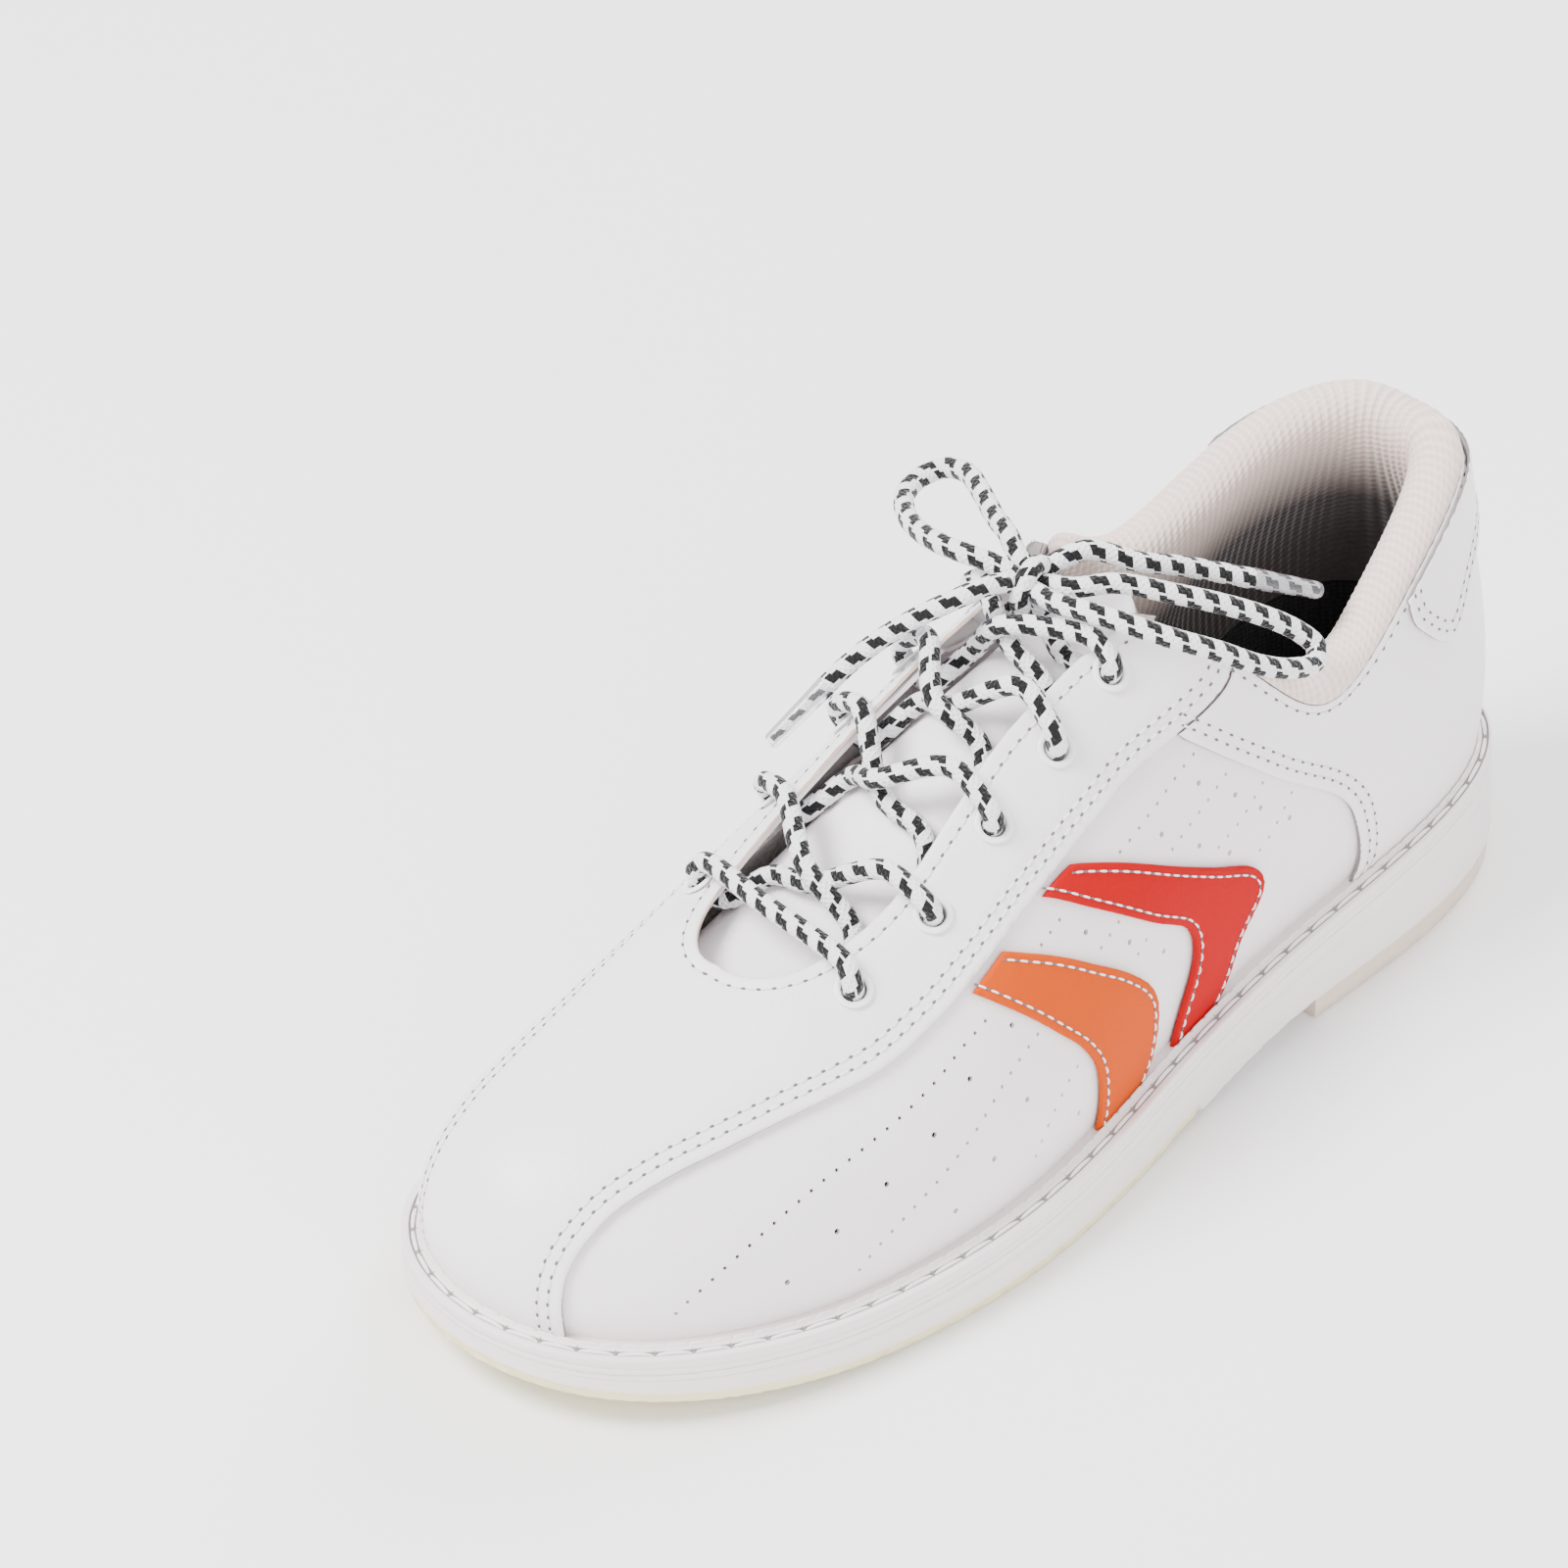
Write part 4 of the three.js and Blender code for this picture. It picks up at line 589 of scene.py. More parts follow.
def braid(name):
    """Round braided lace: UV x along in mm, UV y once round. White with staggered slanted black ticks."""
    white, black = lin((240, 240, 244)), lin((10, 10, 12))
    mt, nt, b = base(name, white, 0.75, spec=0.2, sheen=0.2)
    sp = nt.nodes.new("ShaderNodeSeparateXYZ")
    nt.links.new(coords(nt, "UV"), sp.inputs[0])
    x, v = X(nt, sp.outputs[0]), X(nt, sp.outputs[1])
    rows, pitch = 4.0, 6.0
    r = v * rows
    row = r.op("FLOOR")
    odd = (row * 0.5).op("FRACT") * 2.0
    w = (r - row) - 0.5
    k = x * (1.0 / pitch) + odd * 0.5
    masks = []
    for dx, dv in ((-0.150, -0.08), (0.150, 0.08)):
        c = (k + (-dx) + w * 0.0).op("FRACT") - 0.5
        a = (c - (w - dv) * 0.20).op("ABSOLUTE") < 0.140
        q = (w - dv).op("ABSOLUTE") < 0.35
        masks.append(a * q)
    mask = masks[0].op("MAXIMUM", masks[1])
    mx = nt.nodes.new("ShaderNodeMix")
    mx.data_type = "RGBA"
    mx.inputs[6].default_value = (*white, 1)
    mx.inputs[7].default_value = (*black, 1)
    nt.links.new(mask.s, mx.inputs[0])
    nt.links.new(mx.outputs[2], b.inputs["Base Color"])
    h1 = (x * (2 * math.pi / 1.5) + v * (2 * math.pi * 8)).op("SINE")
    h2 = (x * (2 * math.pi / 1.5) - v * (2 * math.pi * 8)).op("SINE")
    h = h1.op("MAXIMUM", h2)
    bump(nt, b, h.s, 0.6, 0.0003)
    return mt


MAT = {
    "leather": leather("leather_white", (246, 240, 241), 0.42, 0.45),
    "quarter": leather("leather_quarter", (245, 238, 240), 0.42, 0.45),
    "red": leather("leather_red", (172, 0, 10), 0.65, 0.3, 0.08),
    "orange": leather("leather_orange", (196, 72, 0), 0.65, 0.3, 0.08),
    # painted shade: the dark grey of the panel edge walls stands in for the shadow line along the overlay edges
    "cut": rubber("leather_cut_edge", (128, 120, 120), 0.8, 1500.0, 0.2),
    "edge": rubber("leather_raw_edge", (222, 196, 184), 0.85, 1500.0, 0.3),
    "sole": rubber("sole_white", (236, 226, 226), 0.45, 1200.0, 0.05, .02),
    "heel": rubber("heel_rubber", (222, 205, 190), 0.6),
    "slide": rubber("slide_felt", (240, 229, 186), 0.95, 2200.0, 0.7),
    "thread": rubber("thread_white", (246, 242, 243), 0.6, 3000.0, 0.3),
    # painted shade: grey discs at the stitch ends stand in for the shade inside the needle holes
    "hole": rubber("needle_hole", (104, 100, 104), 0.9, 800.0, 0.1),
    "tick": rubber("welt_shadow", (158, 150, 150), 0.9, 800.0, 0.1),
    # painted shade: the darker grey of the welt groove stands in for the shade in the recessed channel
    "groove": rubber("welt_groove", (168, 160, 160), 0.8, 800.0, 0.1),
    "enamel": rubber("eyelet_enamel", (248, 247, 248), 0.22, 500.0, 0.0),
    # collar knit: the darker rib valleys and the darkened inside part are painted shade
    "collar": knit_ribs("collar_knit", (241, 220, 211), 1.9, 0.80, (20.0, 42.0, (70, 62, 62))),
    "lining": textile("lining_mesh", (150, 140, 136), (70, 64, 64)),
    "lining_light": textile("lining_light", (214, 204, 201), (178, 168, 165)),
    # quarter lining: the near-black colours are painted shade for the heel interior; the toe-side colour is the
    # lining's own, blended along y
    "lining_dark": textile("lining_dark", (34, 32, 34), (16, 15, 17), front=(-0.005, 0.02, (200, 190, 187))),
    "tongue_mesh": textile("tongue_mesh", (226, 216, 212)),
    "footbed": textile("footbed_cloth", (34, 33, 36), (18, 18, 20), 0.0009),
    "foam": rubber("foam", (231, 220, 196), 0.95, 2500.0, 0.5),
    "card": rubber("board", (201, 172, 134), 0.9, 700.0, 0.4),
    "cork": rubber("filler_cork", (185, 143, 99), 0.95, 900.0, 0.8, .12),
    "stiff": rubber("stiffener", (185, 165, 138), 0.85, 900.0, 0.4),
    "braid": braid("lace_braid"),
}
_m, _nt, _b = base("shank_steel", (0.55, 0.56, 0.58), 0.35, 1.0)
_tn = node(_nt, "ShaderNodeTexNoise", Scale=300.0)
_nt.links.new(coords(_nt), _tn.inputs["Vector"])
bump(_nt, _b, _tn.outputs["Fac"], 0.1, 0.0001)
MAT["steel"] = _m
_m, _nt, _b = base("aglet_clear", lin((240, 241, 244)), 0.08, coat=0.3)
_b.inputs["Transmission Weight"].default_value = 0.93
_tn = node(_nt, "ShaderNodeTexNoise", Scale=500.0)
_nt.links.new(coords(_nt), _tn.inputs["Vector"])
bump(_nt, _b, _tn.outputs["Fac"], 0.08, 0.0001)
MAT["aglet"] = _m


# ------------------------------------------------------------------ meshes
def make(name, verts, faces, mats, body="shoe", slot=None, stands=(), uv=None, mi=None, sharp=None, flip=False):
    """Mesh piece from design-frame points in mm; faces are triangles or quads; uv per vertex."""
    me = bpy.data.meshes.new(name)
    V_ = M(verts)
    me.from_pydata([tuple(v) for v in V_], [], [tuple(int(i) for i in f) for f in faces])
    if uv is not None:
        lay = me.uv_layers.new(name="UVMap")
        li = np.zeros(len(me.loops), int)
        me.loops.foreach_get("vertex_index", li)
        lay.data.foreach_set("uv", np.asarray(uv, float)[li].ravel())
    for mt in (mats if isinstance(mats, (list, tuple)) else [mats]):
        me.materials.append(MAT[mt])
    if mi is not None:
        me.polygons.foreach_set("material_index", np.asarray(mi, int))
    me.validate()
    # outward faces
    me.calc_loop_triangles()
    co = np.array([v.co for v in me.vertices])
    tr = np.array([t.vertices for t in me.loop_triangles])
    vol = np.einsum("ij,ij->i", co[tr[:, 0]], np.cross(co[tr[:, 1]], co[tr[:, 2]])).sum()
    if vol < 0:
        me.flip_normals()
    me.polygons.foreach_set("use_smooth", [True] * len(me.polygons))
    if sharp:
        me.set_sharp_from_angle(angle=math.radians(sharp))
    ob = bpy.data.objects.new(name, me)
    bpy.context.scene.collection.objects.link(ob)
    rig.ride(ob, body)
    if stands:
        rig.replaces(ob, *stands)
    if slot:
        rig.slot(ob, slot)
    return ob


def grid_faces(n, m, cu, cv, base_=0):
    """Quads of an n x m grid of vertices; cu, cv close it along each way."""
    i = np.arange(n if cu else n - 1)
    j = np.arange(m if cv else m - 1)
    I, J = np.meshgrid(i, j, indexing="ij")
    a, b = I * m + J, I * m + (J + 1) % m
    d, c = ((I + 1) % n) * m + J, ((I + 1) % n) * m + (J + 1) % m
    return (np.stack([a, b, c, d], -1).reshape(-1, 4) + base_).tolist()


def cdt(ring, holes, pts):
    """Triangles (into the returned points) inside the ring and outside the holes; ring points come first."""
    loops = [ring, *holes]
    P = np.concatenate([*loops, pts]) if len(pts) else np.concatenate(loops)
    edges, b = [], 0
    for L in loops:
        n = len(L)
        edges += [(b + i, b + (i + 1) % n) for i in range(n)]
        b += n
    vo, eo, fo, ov, oe, of_ = delaunay_2d_cdt([Vector(p) for p in P], edges, [], 0, 1e-5)
    Q = np.array([list(v) for v in vo])
    F = np.array([list(f) for f in fo])
    c = Q[F].mean(1)
    ok = inside(c, ring)
    for H in holes:
        hc = H.mean(0)
        hr = np.linalg.norm(H - hc, axis=1).max()
        near = np.linalg.norm(c - hc, axis=1) < hr
        idx = np.where(near)[0]
        if len(idx):
            ok[idx[inside(c[idx], H)]] = False
    F = F[ok]
    a = Q[F]
    ar = (a[:, 1, 0] - a[:, 0, 0]) * (a[:, 2, 1] - a[:, 0, 1]) - (a[:, 2, 0] - a[:, 0, 0]) * (a[:, 1, 1] - a[:, 0, 1])
    F[ar < 0] = F[ar < 0][:, [0, 2, 1]]
    F = F[np.abs(ar) > 1e-9]
    used = np.unique(F)
    mp = -np.ones(len(Q), int)
    mp[used] = np.arange(len(used))
    return Q[used], mp[F]


def shell(top, bot, F, mid=()):
    """Closed body between top and bottom copies; mid are copies for rows down the wall. Returns verts, faces, wall flag."""
    n = len(top)
    E = {}
    for a, b, c in F.tolist():
        for p, q in ((a, b), (b, c), (c, a)):
            E[(p, q)] = 1
    B = [(p, q) for (p, q) in E if (q, p) not in E]
    rows = [top, *mid]
    faces = [tuple(f) for f in F.tolist()]
    flag = [0] * len(faces)
    faces += [(n + a, n + c, n + b) for a, b, c in F.tolist()]
    flag += [0] * len(F)
    verts = [np.asarray(top), np.asarray(bot)]
    # wall rows use only boundary vertices
    bv = sorted({p for e in B for p in e})
    ix = {p: i for i, p in enumerate(bv)}
    base_ = 2 * n
    levels = [lambda p: p]
    for mrow in mid:
        verts.append(np.asarray(mrow)[bv])
        levels.append(lambda p, b=base_: b + ix[p])
        base_ += len(bv)
    levels.append(lambda p: n + p)
    for p, q in B:
        for k in range(len(levels) - 1):
            f, g = levels[k], levels[k + 1]
            faces.append((f(p), g(p), g(q), f(q)))
            flag.append(1)
    return np.concatenate(verts), faces, np.array(flag), B


def rounding(d, r):
    k = np.clip(1 - d / r, 0, 1)
    return r * (1 - np.sqrt(np.clip(1 - k * k, 0, 1)))


def hexgrid(lo, hi, h):
    ys = np.arange(lo[1] + h * .4, hi[1], h * .866)
    out = []
    for k, y in enumerate(ys):
        xs = np.arange(lo[0] + (h * .5 if k % 2 else 0.1 * h), hi[0], h)
        out.append(np.stack([xs, np.full_like(xs, y)], -1))
    P = np.concatenate(out)
    return P + rng.uniform(-.03, .03, P.shape) * h


def capsules(paths, pitch, gap, rad, rise, sink, sides=6, phase=0.0, taper=.35):
    """Stitches along paths [(P, normal)], as one set of closed capsules, and the points between them."""
    V_, F_, between = [], [], []
    ss = np.array([0, .08, .3, .5, .7, .92, 1.0])
    rr = np.array([taper, .8, 1, 1, 1, .8, taper]) * rad
    hh = sink + (rise - sink) * np.array([0, .45, .9, 1, .9, .45, 0])
    for P, n in paths:
        d = np.concatenate([[0], np.cumsum(np.linalg.norm(np.diff(P, axis=0), axis=1))])
        k = int(d[-1] / pitch)
        if k < 1:
            continue
        p = d[-1] / k
        for i in range(k):
            a, b = i * p + gap / 2, (i + 1) * p - gap / 2
            s = a + (b - a) * ss
            C = np.stack([np.interp(s, d, P[:, q]) for q in range(3)], -1)
            Nv = unit(np.stack([np.interp(s, d, n[:, q]) for q in range(3)], -1))
            T = unit(np.gradient(C, axis=0))
            B = np.cross(T, Nv)
            C = C + Nv * hh[:, None]
            ang = 2 * np.pi * np.arange(sides) / sides
            ring = C[:, None] + rr[:, None, None] * (np.cos(ang)[None, :, None] * B[:, None] + np.sin(ang)[None, :, None] * Nv[:, None])
            b0 = sum(len(v) for v in V_)
            m_ = len(ss)
            V_.append(ring.reshape(-1, 3))
            F_ += grid_faces(m_, sides, False, True, b0)
            F_.append(tuple(b0 + q for q in range(sides)))
            F_.append(tuple(b0 + (m_ - 1) * sides + q for q in reversed(range(sides))))
        for i in range(k + 1):
            s = i * p
            c0 = np.array([np.interp(s, d, P[:, q]) for q in range(3)])
            c1 = np.array([np.interp(s + .3 if s < d[-1] - .4 else s - .3, d, P[:, q]) for q in range(3)])
            between.append((c0, unit(np.array([np.interp(s, d, n[:, q]) for q in range(3)])), unit(c1 - c0)))
    return V_, F_, between


def discs(between, rad, z, thick=.06, sides=8):
    V_, F_ = [], []
    b0 = 0
    ang = 2 * np.pi * np.arange(sides) / sides
    for c, n, t in between:
        b = np.cross(n, t)
        for w in (z, z - thick):
            V_.append(c + n * w + rad * (1.5 * np.cos(ang)[:, None] * t + .85 * np.sin(ang)[:, None] * b))
        F_.append(tuple(b0 + q for q in range(sides)))
        F_.append(tuple(b0 + sides + q for q in reversed(range(sides))))
        F_ += [(b0 + q, b0 + sides + q, b0 + sides + (q + 1) % sides, b0 + (q + 1) % sides) for q in range(sides)]
        b0 += 2 * sides
    return V_, F_


class Bag:
    """Collects small closed parts into one piece."""
    def __init__(self):
        self.V, self.F, self.mi, self.n = [], [], [], 0

    def put(self, V_, F_, mi=0):
        if not len(V_):
            return
        V_ = np.concatenate(V_) if isinstance(V_, list) else V_
        self.F += [tuple(i + self.n for i in f) for f in F_]
        self.mi += [mi] * len(F_)
        self.V.append(V_)
        self.n += len(V_)

    def make(self, name, mats, **kw):
        return make(name, np.concatenate(self.V), self.F, mats, mi=self.mi, **kw)


# ------------------------------------------------------------------ outlines of the upper, outer side
T0 = 0.006
TOP, MID, TAB = (0.3, 1.4), (-1.6, -0.45), (2.15, 3.0)
VAMP_EDGE = smooth([[9.18,.012],[9.18,.209],[9.13,.336],[9.00,.445],[8.78,.531],[8.40,.583],[7.93,.593],[7.46,.583],[7.00,.561],[6.69,.547],[6.36,.546],[5.97,.543],[5.55,.536],[5.13,.542],[4.78,.582],[4.48,.655],[4.19,.740],[3.97,.834],[3.84,.921],[3.80,.992]])
THROAT = smooth([[4.36,.992],[4.62,.90],[4.93,.82],[5.41,.785],[5.89,.79],[6.31,.80],[6.61,.815],[6.86,.835],[7.05,.865],[7.20,.905],[7.30,.95],[7.35,1]])
VAMP = [(seg([10, T0], [9.18, T0]), 1), (VAMP_EDGE, 1), (seg([3.80, .992], [4.36, .992]), 1), (THROAT, 2), (seg([7.35, 1], [10, 1]), 0), (seg([10, 1], [10, T0]), 0)]
QUARTER = [(seg([2.45, T0], [9.45, T0]), 1), (seg([9.45, T0], [9.45, .34]), 1), (smooth([[9.45,.34],[9.22,.50],[8.8,.62],[8.3,.69],[7.75,.71],[7.3,.76],[7.0,.80]]), 1),
           (smooth([[7.0,.80],[6.61,.79],[6.31,.775],[5.89,.765],[5.41,.765],[5.08,.80],[4.84,.805],[4.6,.76],[4.3,.78],[4.0,.87],[3.7,.985]]), 1), (seg([3.7, .985], [2.45, .985]), 1), (seg([2.45, .985], [2.45, T0]), 1)]
FRONT = VAMP_EDGE[VAMP_EDGE[:, 1] > .757][::-1] - [.016, 0]
BACKQ_EDGE = smooth([[4.13,.753],[3.86,.742],[3.44,.726],[3.10,.68],[2.87,.60],[2.66,.444],[2.56,.234],[2.54,.066],[2.60,T0]])
BACKQ = [(FRONT, 1), (BACKQ_EDGE, 1), (seg([2.60, T0], [0.012, T0]), 1), (seg([0.012, T0], [0.012, .992]), 1), (seg([0.012, .992], [3.784, .992]), 1)]
TAB_EDGE = smooth([[2.02,.99],[2.01,.904],[1.93,.818],[1.79,.706],[1.63,.638],[1.52,.655],[1.25,.72],[0.6,.78],[0,.79],[-0.6,.78],[-1.25,.72],[-1.52,.655],[-1.63,.638],[-1.79,.706],[-1.93,.818],[-2.01,.904],[-2.02,.99]])
RED_A = smooth([[5.02,.528],[4.79,.505],[4.33,.474],[3.84,.443],[3.49,.410],[3.38,.352],[3.38,.290],[3.54,.168],[3.63,.053],[3.70,T0]])
RED_B = smooth([[4.14,T0],[4.10,.077],[3.99,.201],[4.00,.270],[4.08,.315],[4.45,.368],[4.95,.446],[5.28,.520]])
RED_C = [(RED_A, 1), (seg([3.70, T0], [4.14, T0]), 1), (RED_B, 1), (seg([5.28, .520], [5.02, .528]), 1)]
OR_A = smooth([[5.66,.518],[5.46,.462],[5.03,.361],[4.68,.294],[4.47,.240],[4.38,.186],[4.39,.060],[4.46,T0]])
OR_B = smooth([[5.00,T0],[5.00,.068],[5.05,.167],[5.16,.224],[5.41,.310],[5.72,.425],[5.95,.520]])
ORANGE_C = [(OR_A, 1), (seg([4.46, T0], [5.00, T0]), 1), (OR_B, 1), (seg([5.95, .520], [5.66, .518]), 1)]
# rows of small punched holes and the larger holes between them
ROWS = [[[3.90,.77],[4.145,.651],[4.311,.586],[4.598,.512],[5.0,.470],[5.4,.452],[5.80,.450],[6.131,.452],[6.318,.442],[6.61,.430],[6.973,.418],[7.36,.400],[7.734,.36],[8.081,.291],[8.374,.192],[8.537,.105]],
        [[3.60,.80],[3.744,.692],[3.899,.604],[4.078,.531],[4.266,.473],[4.714,.387],[4.932,.360],[5.508,.333],[5.72,.325],[5.914,.311],[6.181,.275],[6.468,.238],[6.765,.200],[7.06,.148],[7.251,.089]],
        [[3.35,.76],[3.412,.698],[3.581,.567],[3.754,.494],[3.842,.461],[4.3,.36],[4.75,.27],[5.131,.213],[5.326,.190],[5.495,.154],[5.627,.108],[5.70,.07]],
        [[3.12,.66],[3.304,.492],[3.461,.412]]]
BIG = [[7.745,.166],[7.324,.26],[6.892,.306],[6.477,.34],[6.127,.386],[5.724,.394],[6.394,.119],[6.048,.18],[5.712,.24],[5.34,.276],[5.204,.099],[4.989,.407],[4.613,.343],[4.267,.282],[4.453,.247],[4.252,.534],[3.932,.502],[3.661,.469],[3.948,.657],[3.649,.642],[3.418,.602],[3.135,.533]]


def on_side(line_, s):
    return np.stack([line_[:, 0] if s > 0 else N - line_[:, 0], line_[:, 1]], -1)


def ring_of(segs, s, h):
    out = []
    for L, kind in segs:
        r = even(on_side(L, s) * SC, step=h)
        if out and np.linalg.norm(out[-1] - r[0]) < 0.9:
            r = r[1:]
        out += list(r)
    if np.linalg.norm(out[0] - out[-1]) < 0.9:
        out.pop()
    return np.array(out) / SC


def circle(c, r, n=20):
    c = np.array(c, float)
    e = 0.01
    du = (S(c[0] + e, c[1]) - S(c[0] - e, c[1])) / (2 * e)
    dt = (S(c[0], c[1] + e) - S(c[0], c[1] - e)) / (2 * e)
    nn = NN(c[0], c[1])
    ex = unit(du)
    ey = unit(np.cross(nn, ex))
    A, B, C, D = du @ ex, dt @ ex, du @ ey, dt @ ey
    det = A * D - B * C
    a = 2 * np.pi * np.arange(n) / n
    x, y = r * np.cos(a), r * np.sin(a)
    return np.stack([c[0] + (x * D - y * B) / det, c[1] + (y * A - x * C) / det], -1)


def signed(ring):
    x, y = ring[:, 0], ring[:, 1]
    return (x * np.roll(y, -1) - np.roll(x, -1) * y).sum() / 2


stitching = {}      # piece name -> Bag


def sew(bag, uvline, w, pitch, gap, rad, holes=True, rise=.12, sink=-.16):
    if len(uvline) < 4:
        return
    Q = even(uvline * SC, step=0.8) / SC
    P = S(Q[:, 0], Q[:, 1])
    n = NN(Q[:, 0], Q[:, 1])
    V_, F_, bt = capsules([(P + n * w, n)], pitch, gap, rad, rise, sink)
    bag.put(V_, F_, 0)
    # grey discs of painted shade mark the needle holes
    if holes:
        V_, F_ = discs(bt, rad * 1.35, 0.03)
        bag.put(V_, F_, 1)


def panel(name, segs, layer, sides, mat, slot_, cut=None, eye_holes=None, punched=None, h=2.2, r=.62, rows=(.2, .5, 1.1), sew_lines=(), bag=None, stands=(), edge_mat=None, pitch=3.3, gap=1.0, rad=.27, ring_h=1.25):
    w0, w1 = layer
    key, UV, tris = {}, [], []
    edge3, groove3 = [], []
    for s in sides:
        ring = ring_of(segs, s, ring_h)
        sg = 1 if signed(ring) < 0 else -1        # interior lies to the left seen from outside
        extra = []
        for L, kind in segs:
            if not kind:
                continue
            E_ = even(on_side(L, s) * SC, step=1.25) / SC
            fine = even(on_side(L, s) * SC, step=.35) / SC
            edge3.append(s_raw(fine[:, 0], fine[:, 1]))
            if len(E_) > 3:
                for d in rows:
                    extra.append(shift_uv(E_, sg * d))
        for L, offs in sew_lines:
            E_ = even(on_side(L, s) * SC, step=1.25) / SC
            for d in offs:
                g = shift_uv(E_, sg * d)
                if len(g) < 5:
                    continue
                if bag is not None:
                    sew(bag, g, w1, pitch, gap, rad)
                gf = even(g * SC, step=.5) / SC
                groove3.append(s_raw(gf[:, 0], gf[:, 1]))
                extra.append(g)
                for k in (-.5, .5):
                    extra.append(shift_uv(E_, sg * (d + k)))
        holes = [circle(c, rr, 20) for c, rr in (eye_holes or {}).get(s, [])] + [circle(c, rr, 8) for c, rr in (punched or {}).get(s, [])]
        lo, hi = (ring * SC).min(0), (ring * SC).max(0)
        bt = tree([(*p, 0) for p in np.concatenate([ring * SC] + [q * SC for q in holes] + [q * SC for q in extra if len(q)])])
        G = hexgrid(lo, hi, h)
        G = G[inside(G, ring * SC)]
        G = G[dist(bt, np.concatenate([G, np.zeros((len(G), 1))], 1)) > .55 * h]
        X_ = [q * SC for q in extra if len(q)]
        if X_:
            X_ = np.concatenate(X_)
            X_ = X_[inside(X_, ring * SC)]
            rt = tree([(*p, 0) for p in np.concatenate([ring * SC] + [q * SC for q in holes])])
            X_ = X_[dist(rt, np.concatenate([X_, np.zeros((len(X_), 1))], 1)) > .22]
            for H in holes:
                X_ = X_[~inside(X_, H * SC)]
                G = G[~inside(G, H * SC)]
            keep, kt = [], {}
            for i, p in enumerate(X_):            # drop points that crowd each other
                c = (int(p[0] / .32), int(p[1] / .32))
                if c not in kt:
                    kt[c] = 1
                    keep.append(i)
            G = np.concatenate([X_[keep], G])
        else:
            for H in holes:
                G = G[~inside(G, H * SC)]
        Q, F = cdt(ring * SC, [q * SC for q in holes], G)
        Q = Q / SC
        ids = []
        for p in Q:
            u, t = p
            if t > .9999 and u > 10 and len(sides) > 1:
                u = N - u
            k = (round(u, 4), round(t, 4))
            if k not in key:
                key[k] = len(UV)
                UV.append((u, t))
            ids.append(key[k])
        F = np.array(ids)[F]
        if s < 0 and len(sides) > 1:
            F = F[:, [0, 2, 1]] if False else F
        tris.append(F)
    UV = np.array(UV)
    F = np.concatenate(tris)
    F = F[(F[:, 0] != F[:, 1]) & (F[:, 1] != F[:, 2]) & (F[:, 0] != F[:, 2])]
    P, n = S(UV[:, 0], UV[:, 1]), NN(UV[:, 0], UV[:, 1])
    d = dist(tree(np.concatenate(edge3)), P)
    w = w1 - np.minimum(rounding(d, r), (w1 - w0) - .12)
    if groove3:
        g = dist(tree(np.concatenate(groove3)), P)
        w = w - .2 * np.exp(-(g / .5) ** 2)
        w = w + .08 * np.exp(-((g - 1.3) / .8) ** 2) * (d > r)
    V_, faces, flag, B = shell(P + n * w[:, None], P + n * w0, F)
    mi = None
    mats = [mat]
    # the edge walls take the painted-shade colour
    if cut:
        mats = [mat, cut]
        mi = [int(fl) for fl in flag]
    # walls on the throat keep the raw-edge colour; the other walls take the painted shade
    if edge_mat:
        mats = [mat, edge_mat, cut]
        lim = tree(np.concatenate([even(on_side(L, s) * SC, step=.5) / SC * SC for L, kind in segs if kind == 2 for s in sides]) @ np.array([[1, 0, 0], [0, 1, 0]]))
        dd = dist(lim, np.concatenate([UV * SC, np.zeros((len(UV), 1))], 1)) < .6
        dd = np.concatenate([dd, dd])
        mi = [(1 if all(dd[i] for i in f) else 2) if fl else 0 for f, fl in zip(faces, flag)]
    return make(name, V_, faces, mats, slot=slot_, stands=stands, mi=mi, sharp=62)


